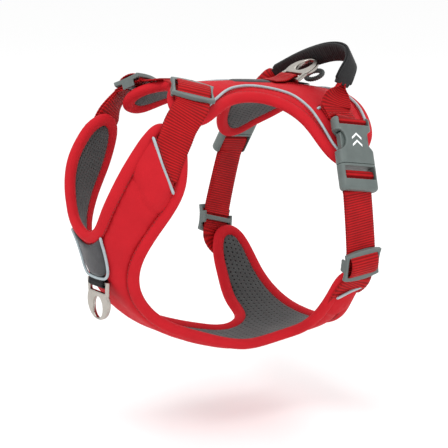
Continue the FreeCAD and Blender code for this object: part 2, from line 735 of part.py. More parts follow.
def build_neck_strap(name, side, seat):
    t, a = NECK_SLIDER[name]
    run = NECK_RUN[name]
    base = on_body([(t - 0.2, NECK_STRAP_START, NECK_START_HEIGHT)], side)
    line = [(seat.point(0, v, w), seat.w) for v, w in NECK_OVER_SLIDER]
    far = on_body([(u, b, h) for (u, b), h in zip(run, NECK_HEIGHTS)], side)
    add("neck_strap_" + name, band(base + line + far, WEBBING_WIDTH, WEBBING))
    near = [(seat.point(0, v, -WEBBING - 0.2), seat.w) for v in NECK_RETURN]
    under = on_body([(u, b, h) for (u, b), h in zip(run, NECK_RETURN_HEIGHTS)], side)
    add("neck_strap_return_" + name, band(near + under, WEBBING_WIDTH, WEBBING))
    add("neck_slider_" + name, seat.place(slider()))
    add("neck_strap_loop_" + name, seat.place(strap_loop()))


def piping(points, offset, side=1):
    """Sewn cord covered in reflective tape."""
    smooth = spread([(t, a, offset) for t, a in points], 4 * len(points))
    return band(on_body(smooth, side), PIPING, PIPING)


def flap(points, offset, side):
    """Outer fabric of a pocket that hides the end of a strap."""
    outline = points if side > 0 else [(t, 360 - a) for t, a in points]
    return layer(CHEST_SPAN, [outline], offset, offset + FLAP)


def build_trims():
    patch = whole_outline(PATCH_HALF, PATCH_HALF, 180)
    add("chest_patch", layer(CHEST_SPAN, [patch], PANEL + 0.1, PANEL + 0.9))
    mirror = [(t, 360 - a) for t, a in PATCH_PIPING[::-1]]
    add("chest_patch_piping", piping(PATCH_PIPING + mirror, PANEL + 0.2))
    add("rear_piping", piping(REAR_PIPING, PANEL + 0.1))
    label = on_body([(t, a, PANEL + 0.1) for t, a in LABEL])
    add("back_label", band(label, LABEL_WIDTH, 1.0))
    for name, side in SIDES.items():
        add("edge_piping_" + name, piping(EDGE_PIPING, PANEL + 0.1, side))
        add("handle_foot_piping_" + name, piping(FOOT_PIPING, PANEL + 0.1, side))
        shift = CHEST_FLAP_SHIFT[name]
        outline = [(t + shift, a) for t, a in CHEST_FLAP]
        add("chest_pocket_" + name, flap(outline, CHEST_FLAP_OFFSET, side))
        add("belly_pocket_" + name, flap(BELLY_FLAP, BELLY_FLAP_OFFSET, side))
        mouth = [(t + shift, a - 1.6) for t, a in CHEST_MOUTH]
        add("chest_pocket_piping_" + name, piping(mouth, CHEST_FLAP_OFFSET, side))
        mouth = [(t, a - 1.4) for t, a in BELLY_MOUTH]
        add("belly_pocket_piping_" + name, piping(mouth, BELLY_FLAP_OFFSET, side))


def main():
    os.makedirs("parts", exist_ok=True)
    build_panel("chest", CHEST_SPAN, whole_outline(CHEST_LEFT, CHEST_RIGHT, 180))
    build_panel("back", BACK_SPAN, whole_outline(BACK_HALF, BACK_HALF, 0))
    build_trims()
    build_rings()
    add("handle_sleeve", handle_sleeve())
    add("handle_core", handle_core())
    for name, side in SIDES.items():
        buckle = buckle_seat(side, BUCKLE_STATION[name])
        build_buckle(name, side, buckle)
        add("buckle_anchor_" + name, buckle_anchor(name, side, buckle))
        add("handle_end_" + name, handle_end(name, side))
        seat = girth_slider_seat(side, GIRTH_SLIDER[name], buckle)
        build_girth_strap(name, side, buckle, seat)
        neck = neck_slider_seat(side, NECK_SLIDER[name], NECK_RUN[name])
        build_neck_strap(name, side, neck)
    for name, shape in NODES.items():
        shape.exportStep("parts/" + name + ".step")
        print(name, round(shape.Volume, 1), shape.isValid(), len(shape.Solids))


main()
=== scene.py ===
import math

import bmesh
import bpy
import numpy as np
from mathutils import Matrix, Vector, noise
from mathutils.geometry import delaunay_2d_cdt


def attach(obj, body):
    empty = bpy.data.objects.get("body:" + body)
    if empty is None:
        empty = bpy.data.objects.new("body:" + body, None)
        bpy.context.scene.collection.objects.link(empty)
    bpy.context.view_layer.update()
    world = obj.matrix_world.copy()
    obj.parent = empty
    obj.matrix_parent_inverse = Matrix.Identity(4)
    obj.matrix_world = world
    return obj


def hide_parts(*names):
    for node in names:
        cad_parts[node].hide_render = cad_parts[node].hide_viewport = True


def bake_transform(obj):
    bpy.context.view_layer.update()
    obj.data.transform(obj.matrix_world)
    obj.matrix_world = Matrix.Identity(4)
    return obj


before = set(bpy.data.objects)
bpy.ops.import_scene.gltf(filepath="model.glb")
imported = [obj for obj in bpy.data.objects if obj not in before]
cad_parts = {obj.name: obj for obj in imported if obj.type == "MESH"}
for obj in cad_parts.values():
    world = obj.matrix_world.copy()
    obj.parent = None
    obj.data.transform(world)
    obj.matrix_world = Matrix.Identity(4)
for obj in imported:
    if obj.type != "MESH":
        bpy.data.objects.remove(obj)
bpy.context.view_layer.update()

# No-pull dog harness.  Lengths below are millimetres in the frame of the CAD model:
# the dog faces -Y, +Z is up and the dog's left side is +X.  Meshes are made in metres.

MM = 0.001
UV_SCALE = 0.1

# ---- driving dimensions ------------------------------------------------------------------

WEBBING_WIDTH = 25.0
WEBBING = 1.5
RIB_PITCH = 1.95
RIB_HEIGHT = 0.24
PANEL = 5.1
PIPING_RADIUS = 1.1
PIPING_SIDES = 14

# Trunk stations from the rear hoop to the neck: top y and z, bottom y and z, half width,
# outward curl of the lower edges, and sideways skew of the hoop.
STATIONS = [
    (108, 90, 102, -80, 90, 0.0, 0.09),
    (78, 97, 72, -86, 93, 0.0, 0.09),
    (46, 101.5, 40, -90.5, 90, 0.0, 0.09),
    (18, 104.5, 0, -91.5, 82, 1.5, 0.06),
    (-6, 106, -40, -80, 70, 1.0, 0.03),
    (-24, 107, -76, -60, 60, 4.0, 0.0),
    (-38, 108, -102, -33, 53, 3.0, 0.0),
    (-50, 109, -119, 1, 46, 0.0, 0.0),
    (-62, 109, -133, 34, 39, 0.0, 0.0),
    (-75, 108, -145, 67, 32, 0.0, 0.0),
]

# Panel outlines as (station, degrees from the spine).  The breast plate hangs a little askew,
# so each of its halves has its own; the saddle and the patch mirror theirs.
CHEST_LEFT = [
    (7.35, 180), (7.42, 165), (7.72, 150), (7.98, 136), (8.25, 118), (8.45, 98), (8.5, 78),
    (8.3, 66), (7.6, 61.5), (6.95, 66), (6.6, 76), (6.38, 88), (6.37, 101), (6.42, 116),
    (6.38, 130), (6.2, 143), (5.85, 152), (5.35, 156), (4.6, 157), (3.8, 157.5), (3.0, 158),
    (2.4, 158), (2.08, 155), (1.95, 146), (1.9, 132), (1.85, 120), (1.7, 112), (1.37, 110),
    (1.1, 114), (1.02, 125), (0.87, 139), (0.66, 154), (0.53, 168), (0.48, 180),
]
CHEST_RIGHT = [
    (7.35, 180), (7.45, 165), (7.55, 150), (7.85, 133), (8.15, 114), (8.32, 95), (8.35, 77),
    (8.05, 66), (7.4, 63), (6.7, 68), (6.35, 77), (6.22, 87), (6.25, 100), (6.32, 115),
    (6.32, 128), (6.15, 140), (5.8, 148), (5.3, 153), (4.6, 156), (3.8, 157.5), (3.0, 160),
    (2.5, 163.5), (2.24, 161), (2.14, 150), (2.02, 132), (1.9, 118), (1.68, 111), (1.3, 110),
    (0.98, 114), (0.78, 122), (0.68, 138), (0.6, 154), (0.52, 168), (0.48, 180),
]
BACK_HALF = [
    (7.3, 0), (7.65, 14), (8.0, 28), (7.95, 41), (7.5, 50), (6.8, 51), (6.1, 46.5),
    (5.3, 37), (4.5, 28), (3.8, 23.5), (3.1, 24), (2.6, 30), (2.3, 39), (2.15, 48),
    (1.95, 56), (1.6, 61), (1.2, 60), (0.8, 54), (0.4, 46), (0.1, 34), (-0.1, 20),
    (-0.15, 0),
]

SIDES = {"left": 1, "right": -1}
BUCKLE_STATION = {"left": 1.47, "right": 1.02}
GIRTH_SLIDER = {"left": (1.36, 104.6), "right": (1.55, 105.5)}
GIRTH_TAIL = {"left": 0.11, "right": -0.06}
GIRTH_TAIL_RUN = [(25, 3.6), (20, 4.2), (15, 5.7)]
GIRTH_THROUGH_SLIDER = (-15, -8, 0, 6, 12)
GIRTH_INTO_PLUG = [(-20.5, 3.1), (-15, 3.15)]
GIRTH_OUT_OF_PLUG = [(-12, 2.8), (-20, 2.5)]
GIRTH_RETURN = (12, 4)
HALF_TURN = (120, 90, 60, 30, 0, -30, -60, -90)
HUMP = [(-9.3, 0.25), (-8.6, 1.6), (-7.6, 3.9), (-5.8, 5.7), (-3.0, 6.7), (0.0, 7.0)]
HUMP_WIDTH = WEBBING_WIDTH - 0.4
NECK_SLIDER = {"left": (6.94, 33), "right": (6.92, 36)}
NECK_TILT = 11.0
NECK_STRAP_START = 4.5
NECK_SKEW = 0.3
NECK_RUN = {
    "left": [(7.43, 60), (7.45, 71), (7.42, 83), (7.3, 96)],
    "right": [(7.26, 62), (7.22, 72), (7.2, 83), (7.2, 96)],
}
NECK_THROUGH_SLIDER = [(-13, -1.2), (-7, -0.35), (0, 0), (6, 0), (15, -0.5)]
NECK_HEIGHTS = (10.6, 8.2, 6.2, 5.6)
NECK_RETURN_HEIGHTS = (8.4, 6.3)
BUCKLE_ANGLE = 62.5
BUCKLE_OFFSET = 5.3
MALE_LENGTH = 20.5
BAR_HEIGHT = 5.5
FEMALE_BAR = 34.6
MALE_BAR = -7.9
EYE_INNER = 2.2
GIRTH_SLIDER_OFFSET = 6.6
NECK_SLIDER_OFFSET = 11.9

KEEPER_WIDTH = 18.5
KEEPER_INNER = 2.4
TOP_RING = 1.5
TOP_KEEPER_RUN = [(0.62, 6.0), (0.4, 6.4), (0.2, 7.8)]
FRONT_RING = 6.3
FRONT_KEEPER_RUN = [(0.3, 5.9), (0.14, 6.9)]
TAG = (0.86, 62.0)
TAG_TAB_WIDTH = 8.0
TAG_TAB = 1.2
TAG_WIDE = 7.4
TAG_TALL = 6.2
TAG_ROUND = (1.9, 1.8)
TAG_RIBS = 24
RING_LIFT = PANEL - 0.1 + KEEPER_INNER + WEBBING + 0.2

HANDLE_WIDTH = 14.0
HANDLE_THICKNESS = 4.2
HANDLE_LEAN = 62.0
GRIP_RIDGES = [(0.34, 2.7, 0.0), (0.16, 4.3, 1.2)]
HANDLE_ARCH = [
    (-44, 87.3, 104.8), (-20, 93, 117.4), (5, 91.7, 125.8), (25, 89.7, 130), (40, 88.3, 129.8),
    (48, 85.6, 124.3), (50, 79.4, 115.6), (49.5, 75, 107.5),
]
HANDLE_FOOT = {"left": (1.26, 36.5), "right": (1.0, 34)}
HANDLE_FOOT_RUN = [(6.0, 7.5), (2.5, 7.5), (-1.0, 7.7), (-4.8, 9.2)]
ANCHOR_RUN = [(-7, 6.0), (-2, 6.0), (3.0, 6.2)]
ANCHOR_TURN = (70, 95, 120, 150, 180, 210, 240, 270)
GATHER_FROM = 0.44
GATHER_OVER = 0.50
BOX_HEIGHT = 9.15
BOX_CORNERS = [(-0.34, 5.4), (0.34, 5.4), (0.34, -0.6), (-0.34, -0.6)]

EDGE_PIPING = [
    (1.7, 55), (1.82, 50), (1.9, 40), (1.97, 30), (2.2, 20), (2.75, 14), (3.4, 12),
    (4.2, 16), (5.2, 26.5), (6.0, 36), (6.7, 40.5), (7.3, 40), (7.65, 31),
]
FOOT_PIPING = [(1.74, 31.5), (1.45, 29.5), (1.1, 30), (0.85, 32)]
REAR_PIPING = [(0.42, -38), (0.2, -24), (0.12, -8), (0.12, 8), (0.2, 24), (0.42, 38)]
PATCH_HALF = [
    (7.1, 180), (7.13, 171), (7.2, 163), (7.2, 160.4), (7.02, 161.5), (6.7, 163.7), (6.54, 166),
    (6.46, 170), (6.44, 180),
]
PATCH_PIPING = [
    (7.26, 158.4), (7.08, 160), (6.7, 162.5), (6.5, 164.7), (6.41, 168.5), (6.4, 174),
]
PATCH_HEIGHTS = (6.1, 6.9)
BULGE = 3.6
BULGE_REACH = 14.0
PATCH_LIFT = (6.2, 6.2, 6.5, 7.2, 8.1, 8.7)
LABEL = [(2.15, 0), (2.16, 3.2), (2.25, 3.6), (2.8, 3.6), (3.35, 3.6), (3.44, 3.2), (3.45, 0)]
CHEST_MOUTH = [(8.12, 81), (7.35, 90), (6.52, 97)]
CHEST_FLAP_SHIFT = {"left": 0.18, "right": 0.0}
CHEST_FLAP_END = [(6.5, 108), (6.8, 116), (7.4, 116), (7.88, 109), (8.12, 95)]
BELLY_MOUTH = [(1.75, 121.5), (1.4, 119), (1.08, 118)]
BELLY_FLAP_END = [(1.02, 126), (1.12, 136), (1.6, 137), (1.76, 129)]

# Heights over the dog's coat: of the piping's feet, the flaps and the badge.
PIPING_LIFT = 5.4
CHEST_MOUTH_LIFT = 8.0
BELLY_MOUTH_LIFT = 7.6
CHEST_FLAP_TOP = 9.4
BELLY_FLAP_TOP = 8.8
BADGE_HEIGHTS = (5.6, 6.9)


# ---- trunk surface, the same as the CAD model's ------------------------------------------

def through(values, t):
    """Smooth curve through evenly numbered values, at t; t may be an array."""
    values = np.asarray(values, float)
    first = 2 * values[0] - values[1]
    final = 2 * values[-1] - values[-2]
    padded = np.concatenate([[first], values, [final]])
    i = np.clip(np.floor(t), 0, len(values) - 2).astype(int)
    f = t - i
    if values.ndim > 1:
        f = f[..., None]
    a, b, c, d = padded[i], padded[i + 1], padded[i + 2], padded[i + 3]
    return 0.5 * (2 * b + (c - a) * f + (2 * a - 5 * b + 4 * c - d) * f * f
                  + (3 * b - a - 3 * c + d) * f * f * f)


COLUMNS = [np.array(c, float) for c in zip(*STATIONS)]
CURL_SPREAD = 20.0


def hoop(t, degrees):
    """Points of the bare trunk at stations and angles from the spine, and the curl."""
    t = np.asarray(t, float)
    top_y, top_z, low_y, low_z, half, curl, skew = [through(c, t) for c in COLUMNS]
    turn = np.radians(degrees)
    x = half * np.sin(turn)
    y = (top_y + low_y) / 2 + (top_y - low_y) / 2 * np.cos(turn) - skew * x
    z = (top_z + low_z) / 2 + (top_z - low_z) / 2 * np.cos(turn)
    return np.stack([x, y, z], -1), curl


def unit(v):
    return v / np.linalg.norm(v, axis=-1, keepdims=True)


def outward(t, degrees):
    """Unit normals of the trunk, pointing away from the dog."""
    t = np.asarray(t, float)
    degrees = np.asarray(degrees, float)
    along = hoop(t + 0.01, degrees)[0] - hoop(t - 0.01, degrees)[0]
    around = hoop(t, degrees + 1)[0] - hoop(t, degrees - 1)[0]
    return unit(np.cross(along, around))


def body(t, degrees, offset=0.0):
    """Points at a height above the dog's coat."""
    t = np.asarray(t, float)
    degrees = np.asarray(degrees, float)
    point, curl = hoop(t, degrees)
    edge = np.where(degrees <= 180, 180 - np.abs(degrees), degrees - 180) / CURL_SPREAD
    lift = offset + np.maximum(0, curl) * edge * edge * np.exp(1 - edge * edge)
    return point + outward(t, degrees) * np.asarray(lift)[..., None]


# ---- meshes ------------------------------------------------------------------------------

def new_object(name, verts, faces, uvs=None):
    """Mesh object from millimetre points; uvs holds one (u, v) in millimetres per vertex."""
    mesh = bpy.data.meshes.new(name)
    mesh.from_pydata([tuple(c * MM for c in p) for p in verts], [], [tuple(f) for f in faces])
    mesh.polygons.foreach_set("use_smooth", [True] * len(mesh.polygons))
    if uvs is not None:
        layer = mesh.uv_layers.new(name="UVMap")
        flat = np.asarray(uvs, float)[[loop.vertex_index for loop in mesh.loops]]
        layer.data.foreach_set("uv", (flat * UV_SCALE).ravel())
    obj = bpy.data.objects.new(name, mesh)
    bpy.context.scene.collection.objects.link(obj)
    return obj


def turn_out(obj):
    """Make the faces of a closed mesh point outward."""
    work = bmesh.new()
    work.from_mesh(obj.data)
    bmesh.ops.recalc_face_normals(work, faces=work.faces)
    work.to_mesh(obj.data)
    work.free()


def finish_piece(obj, material, rides=None, stands_for=()):
    """Give a piece its material and its body, and hide the CAD nodes that it stands for.
    """
    obj.data.materials.clear()
    obj.data.materials.append(material)
    turn_out(obj)
    if rides:
        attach(obj, rides)
    if stands_for:
        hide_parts(*stands_for)
    return obj


def tube(rings, closed=False):
    """Faces that join equal rings of points into a skin."""
    verts = [p for ring in rings for p in ring]
    size = len(rings[0])
    faces = []
    count = len(rings)
    for i in range(count if closed else count - 1):
        j = (i + 1) % count
        for k in range(size):
            n = (k + 1) % size
            faces.append((i * size + k, i * size + n, j * size + n, j * size + k))
    if not closed:
        faces.append(tuple(range(size))[::-1])
        faces.append(tuple((count - 1) * size + k for k in range(size)))
    return verts, faces


def swept(name, place, facing, across, section, closed=False):
    """Skin along a path; section(i) lists (across, height, (u, v)) at the path's point i."""
    rings = []
    uvs = []
    for i in range(len(place)):
        points = section(i)
        rings.append([place[i] + across[i] * u + facing[i] * w for u, w, _ in points])
        uvs += [uv for _, _, uv in points]
    verts, faces = tube(rings, closed)
    return new_object(name, verts, faces, uvs)


def smooth_path(points, step):
    """Evenly spaced points and normals along a smooth line through (point, normal) pairs."""
    place = np.array([np.asarray(p, float) for p, _ in points])
    normal = np.array([np.asarray(n, float) for _, n in points])
    runs = np.concatenate([[0], np.cumsum(np.linalg.norm(np.diff(place, axis=0), axis=1))])
    count = max(4, int(round(runs[-1] / step)))
    s = np.linspace(0, runs[-1], count + 1)
    k = np.clip(np.searchsorted(runs, s, side="right") - 1, 0, len(place) - 2)
    length = (runs[k + 1] - runs[k])[:, None]
    f = (s[:, None] - runs[k][:, None]) / length
    low = np.maximum(np.arange(len(place)) - 1, 0)
    high = np.minimum(np.arange(len(place)) + 1, len(place) - 1)
    slope = (place[high] - place[low]) / (runs[high] - runs[low])[:, None]
    line = (place[k] * (2 * f ** 3 - 3 * f ** 2 + 1) + slope[k] * length * (f ** 3 - 2 * f ** 2 + f)
            + place[k + 1] * (3 * f ** 2 - 2 * f ** 3) + slope[k + 1] * length * (f ** 3 - f ** 2))
    facing = unit(normal[k] * (1 - f) + normal[k + 1] * f)
    run = np.gradient(line, axis=0)
    across = unit(np.cross(run, facing))
    return line, unit(np.cross(across, run)), across, s


def on_body(points, side=1):
    """(point, normal) pairs over the trunk from (station, degrees, offset) points."""
    return [(body(t, a * side, h), outward(t, a * side)) for t, a, h in points]


def spread(points, count):
    """More (station, degrees, offset) points along a smooth line through a few."""
    return through(points, np.linspace(0, len(points) - 1, count))


# ---- webbing, piping and stitches --------------------------------------------------------

SELVEDGE = 0.97
SELVEDGE_WAVE = 0.10
SELVEDGE_THIN = 0.28


def webbing(name, path, width=WEBBING_WIDTH, thickness=WEBBING, gather=None, columns=12):
    """Ribbed webbing whose inner face follows a path of (point, normal) pairs.

    gather(share) gives how far its two edges are folded in to the middle, from 0 to 1.
    """
    line, facing, across, s = smooth_path(path, RIB_PITCH / 4)
    half = width / 2

    def section(i):
        swing = math.cos(2 * math.pi * s[i] / RIB_PITCH)
        wave = RIB_HEIGHT * 0.5 * (1 - swing)
        pinch = gather(s[i] / s[-1]) if gather else 0.0
        points = []
        for face in (1, -1):
            for j in range(columns):
                x = face * (1 - 2 * j / (columns - 1))
                reach = x * (half + SELVEDGE_WAVE * swing)
                rise = thickness / 2 + wave - RIB_HEIGHT
                if abs(x) > SELVEDGE:
                    rise = thickness * SELVEDGE_THIN
                u, w = folded(reach, half, thickness / 2 + face * rise, pinch)
                points.append((u, w, (x * half, s[i])))
        return points

    return swept(name, line, facing, across, section)


FOLD_TURN = 2.75
FOLD_FLATTEN = 0.56


def folded(reach, half, height, pinch):
    """Cross-section point of webbing whose edges roll in to the middle of its outer face."""
    if pinch < 0.01:
        return reach, height
    radius = half / (FOLD_TURN * pinch)
    turn = reach / radius
    u = (radius - height) * math.sin(turn)
    w = radius - (radius - height) * math.cos(turn)
    return u, w * (1 - FOLD_FLATTEN * pinch) - 1.2 * pinch


def piping(name, path, radius=PIPING_RADIUS, sink=0.35):
    """Round cord under reflective tape."""
    line, facing, across, s = smooth_path(path, 1.0)

    def section(i):
        taper = min(1.0, 0.35 + min(s[i], s[-1] - s[i]) / 1.6)
        wide = radius * taper * (1.0 + 0.02 * math.sin(s[i] * 2.4))
        points = []
        for k in range(PIPING_SIDES):
            turn = 2 * math.pi * k / PIPING_SIDES
            height = math.sin(turn) * wide + radius - sink
            points.append((math.cos(turn) * wide, height, (k * 0.5, s[i])))
        return points

    return swept(name, line, facing, across, section)


STITCH = 2.3
STITCH_PITCH = 3.1
THREAD = 0.30


def stitch_row(path, lift=0.05, inset=0.0):
    """Points and faces of a row of stitches along a path of (point, normal) pairs."""
    line, facing, across, s = smooth_path(path, 0.5)
    verts = []
    faces = []
    start = 0.6
    while start + STITCH < s[-1]:
        rings = []
        for share in (0.0, 0.12, 0.3, 0.5, 0.7, 0.88, 1.0):
            place = start + STITCH * share
            i = int(np.searchsorted(s, place))
            i = min(i, len(line) - 1)
            arch = math.sin(math.pi * share)
            centre = line[i] + across[i] * inset + facing[i] * (lift + THREAD * (arch - 0.55))
            thick = THREAD * (0.45 + 0.55 * arch)
            ring = []
            for k in range(6):
                turn = math.pi * k / 3
                ring.append(centre + across[i] * math.cos(turn) * thick
                            + facing[i] * math.sin(turn) * thick)
            rings.append(ring)
        more, skin = tube(rings)
        faces += [tuple(len(verts) + v for v in f) for f in skin]
        verts += more
        start += STITCH_PITCH
    return verts, faces


def stitches(name, rows, material, rides):
    """One piece holding several rows of stitches."""
    verts = []
    faces = []
    for row in rows:
        more, skin = stitch_row(**row)
        faces += [tuple(len(verts) + v for v in f) for f in skin]
        verts += more
    obj = new_object(name, verts, faces)
    return finish_piece(obj, material, rides)


# ---- panels ------------------------------------------------------------------------------

def whole_outline(left, right, middle_last):
    mirror = [(t, 2 * middle_last - a) for t, a in right[-2:0:-1]]
    return left + mirror


# Degrees that weigh as much as one station in an outline, and millimetres from one to the next.
ANGLE_UNIT = 20.0
STATION_PITCH = 22.0


def smooth_loop(points, step):
    """Evenly spaced (station, degrees) points on the smooth closed curve through a few."""
    p = np.array(points, float) / (1, ANGLE_UNIT)
    count = len(p)
    h = np.linalg.norm(np.roll(p, -1, axis=0) - p, axis=1)
    system = np.zeros((count, count))
    right = np.zeros((count, 2))
    for i in range(count):
        before = h[i - 1]
        after = h[i]
        system[i, i - 1] += before
        system[i, i] += 2 * (before + after)
        system[i, (i + 1) % count] += after
        right[i] = 6 * ((p[(i + 1) % count] - p[i]) / after - (p[i] - p[i - 1]) / before)
    bend = np.linalg.solve(system, right)
    fine = []
    for i in range(count):
        j = (i + 1) % count
        for f in np.linspace(0, 1, 40, endpoint=False):
            g = 1 - f
            fine.append(g * p[i] + f * p[j] + h[i] ** 2 / 6
                        * ((g ** 3 - g) * bend[i] + (f ** 3 - f) * bend[j]))
    fine = np.array(fine) * (1, ANGLE_UNIT)
    place = body(fine[:, 0], fine[:, 1])
    gaps = np.linalg.norm(np.roll(place, -1, axis=0) - place, axis=1)
    runs = np.concatenate([[0], np.cumsum(gaps)])
    wanted = np.linspace(0, runs[-1], int(round(runs[-1] / step)), endpoint=False)
    loop = np.concatenate([fine, fine[:1]])
    return np.stack([np.interp(wanted, runs, loop[:, c]) for c in (0, 1)], -1)


def frames_of(loop):
    """Place, outward normal, inward direction and length along a closed outline."""
    place = body(loop[:, 0], loop[:, 1])
    facing = outward(loop[:, 0], loop[:, 1])
    run = np.roll(place, -1, axis=0) - np.roll(place, 1, axis=0)
    t, a = loop[:, 0], loop[:, 1] / ANGLE_UNIT
    area = np.sum(t * np.roll(a, -1) - np.roll(t, -1) * a)
    inward = unit(np.cross(facing, run)) * (1 if area > 0 else -1)
    gaps = np.linalg.norm(np.roll(place, -1, axis=0) - place, axis=1)
    return place, facing, inward, np.concatenate([[0], np.cumsum(gaps)[:-1]])


def stepped(loop, inward, distance):
    """The outline moved inward along the trunk by a true distance."""
    t, a = loop[:, 0], loop[:, 1]
    along = (body(t + 0.05, a) - body(t - 0.05, a)) * 10
    around = (body(t, a + 1) - body(t, a - 1)) * 0.5
    move = inward * distance
    aa = np.sum(along * along, -1)
    rr = np.sum(around * around, -1)
    ar = np.sum(along * around, -1)
    ma = np.sum(move * along, -1)
    mr = np.sum(move * around, -1)
    scale = aa * rr - ar * ar
    return np.stack([t + (ma * rr - mr * ar) / scale, a + (mr * aa - ma * ar) / scale], -1)


def inside(points, loop):
    """Which points lie inside a closed outline, by crossings."""
    x, y = points[:, 0], points[:, 1]
    found = np.zeros(len(points), bool)
    for (x0, y0), (x1, y1) in zip(loop, np.roll(loop, -1, axis=0)):
        crosses = (y0 > y) != (y1 > y)
        with np.errstate(divide="ignore", invalid="ignore"):
            at = (x1 - x0) * (y - y0) / (y1 - y0) + x0
        found ^= crosses & (x < at)
    return found


def flat_cells(loop, step):
    """Vertices (station, degrees) and triangles that fill an outline."""
    t_low, a_low = loop.min(0)
    t_high, a_high = loop.max(0)
    lattice = []
    t = t_low
    row = 0
    while t < t_high:
        middle = body(t, np.array([0.0, 90.0, 180.0]))
        ahead = body(t + 0.1, np.array([0.0, 90.0, 180.0]))
        pace = np.linalg.norm(ahead - middle, axis=1).mean() * 10
        girth = np.linalg.norm(body(t, 91.0) - body(t, 89.0)) / 2
        turn = step / max(girth, 0.5)
        angles = np.arange(a_low + turn * 0.5 * (row % 2), a_high, turn)
        lattice.append(np.stack([np.full(len(angles), t), angles], -1))
        t += step * 0.866 / pace
        row += 1
    lattice = np.concatenate(lattice)
    lattice = lattice[inside(lattice, loop)]
    place = body(lattice[:, 0], lattice[:, 1])
    rim = body(loop[:, 0], loop[:, 1])
    gap = nearest(place, rim)
    lattice = lattice[gap > step * 0.55]
    flat = np.concatenate([loop, lattice]) / (1, ANGLE_UNIT)
    edges = [(i, (i + 1) % len(loop)) for i in range(len(loop))]
    result = delaunay_2d_cdt([Vector(p) for p in flat], edges, [], 1, 1e-7)
    verts = np.array([tuple(v) for v in result[0]]) * (1, ANGLE_UNIT)
    return verts, result[2]


def nearest(points, rim):
    """Distance from each point to the closest of the rim's points."""
    best = np.full(len(points), 1e9)
    for start in range(0, len(rim), 64):
        part = rim[start:start + 64]
        d = np.linalg.norm(points[:, None, :] - part[None, :, :], axis=-1).min(1)
        best = np.minimum(best, d)
    return best


def slab(name, loop, step, outer, inner):
    """Closed skin between two heights; each height is a function of (places, gap to rim)."""
    flat, cells = flat_cells(loop, step)
    rim = body(loop[:, 0], loop[:, 1])
    place = body(flat[:, 0], flat[:, 1])
    gap = nearest(place, rim)
    high = body(flat[:, 0], flat[:, 1], outer(place, gap))
    low = body(flat[:, 0], flat[:, 1], inner(place, gap))
    count = len(flat)
    faces = [tuple(c) for c in cells] + [tuple(count + v for v in c[::-1]) for c in cells]
    sides = {}
    for c in cells:
        for k in range(len(c)):
            pair = (c[k], c[(k + 1) % len(c)])
            if (pair[1], pair[0]) in sides:
                del sides[(pair[1], pair[0])]
            else:
                sides[pair] = True
    for a, b in sides:
        faces.append((b, a, count + a, count + b))
    girth = np.hypot(place[:, 0], place[:, 2]).mean()
    uv = np.stack([np.radians(flat[:, 1]) * girth, flat[:, 0] * STATION_PITCH], -1)
    return new_object(name, np.concatenate([high, low]), faces, np.concatenate([uv, uv]))


def wander(place, size, seed):
    """Smooth noise from -1 to 1 at each point, with lumps of a given size in mm."""
    shift = Vector((seed * 17.3, seed * 5.1, seed * 9.7))
    return np.array([noise.noise(Vector(p) / size + shift) for p in place])


def crown(seam, full, reach, ripple, seed):
    """Height of a padded face: low at its seam, full a little way in, softly uneven."""
    def height(place, gap):
        rise = 1 - np.exp(-gap / reach)
        soft = ripple * rise * (wander(place, 26.0, seed) + 0.5 * wander(place, 11.0, seed + 3))
        return seam + (full - seam) * rise + soft
    return height


def flat_height(value):
    return lambda place, gap: np.full(len(place), float(value))


BINDING_PROFILE = [
    (8.5, 3.4), (8.1, 4.7), (6.2, 6.1), (4.0, 6.5), (1.7, 5.9), (0.0, 4.3), (-0.6, 2.5),
    (0.0, 0.7), (1.7, -0.9), (4.0, -1.5), (6.2, -1.1), (7.9, -0.1), (8.6, 0.7),
]
BINDING_MIDDLE = 2.5
BINDING_SWELL = 0.045
BINDING_CREASE = 0.16
BINDING_DENT = 0.42


def binding(name, loop, seed):
    """Soft rolled binding round the panel's edge, puckered along its seams."""
    place, facing, inward, s = frames_of(loop)
    profile = through(BINDING_PROFILE, np.linspace(0, len(BINDING_PROFILE) - 1, 27))
    pucker = wander(place + inward * 3, 9.0, seed)
    roll = wander(place, 34.0, seed + 1)

    def section(i):
        points = []
        for j, (x, y) in enumerate(profile):
            share = j / (len(profile) - 1)
            arch = math.sin(math.pi * share)
            swell = 1 + BINDING_SWELL * roll[i]
            turn = 2 * math.pi * s[i] / STITCH_PITCH
            crease = BINDING_CREASE * math.sin(turn) * (1 - arch) ** 2
            dent = BINDING_DENT * max(0.0, pucker[i]) * (1 - arch)
            height = y - BINDING_MIDDLE
            up = BINDING_MIDDLE + height * swell - math.copysign(dent + crease, height)
            points.append((x, up, (j, s[i])))
        return points

    return swept(name, place, facing, inward, section, closed=True)


# ---- hardware frames ---------------------------------------------------------------------

class Seat:
    """Local frame: u across the webbing, v along it, w away from the dog."""

    def __init__(self, origin, along, normal):
        self.origin = np.asarray(origin, float)
        self.w = unit(np.asarray(normal, float))
        self.v = unit(along - self.w * np.dot(along, self.w))
        self.u = np.cross(self.v, self.w)

    def point(self, u, v, w):
        return self.origin + self.u * u + self.v * v + self.w * w

    def round_bar(self, v, w, radius, angles):
        """(point, normal) pairs on a cylinder about a cross bar, by angle from +v to +w."""
        pairs = []
        for degrees in angles:
            turn = math.radians(degrees)
            normal = self.v * math.cos(turn) + self.w * math.sin(turn)
            pairs.append((self.point(0, v, w) + normal * radius, normal))
        return pairs


def buckle_seat(side, station):
    upper = body(station - 0.08, (BUCKLE_ANGLE - 12) * side)
    lower = body(station + 0.08, (BUCKLE_ANGLE + 12) * side)
    origin = body(station, BUCKLE_ANGLE * side, BUCKLE_OFFSET)
    return Seat(origin, upper - lower, outward(station, BUCKLE_ANGLE * side))


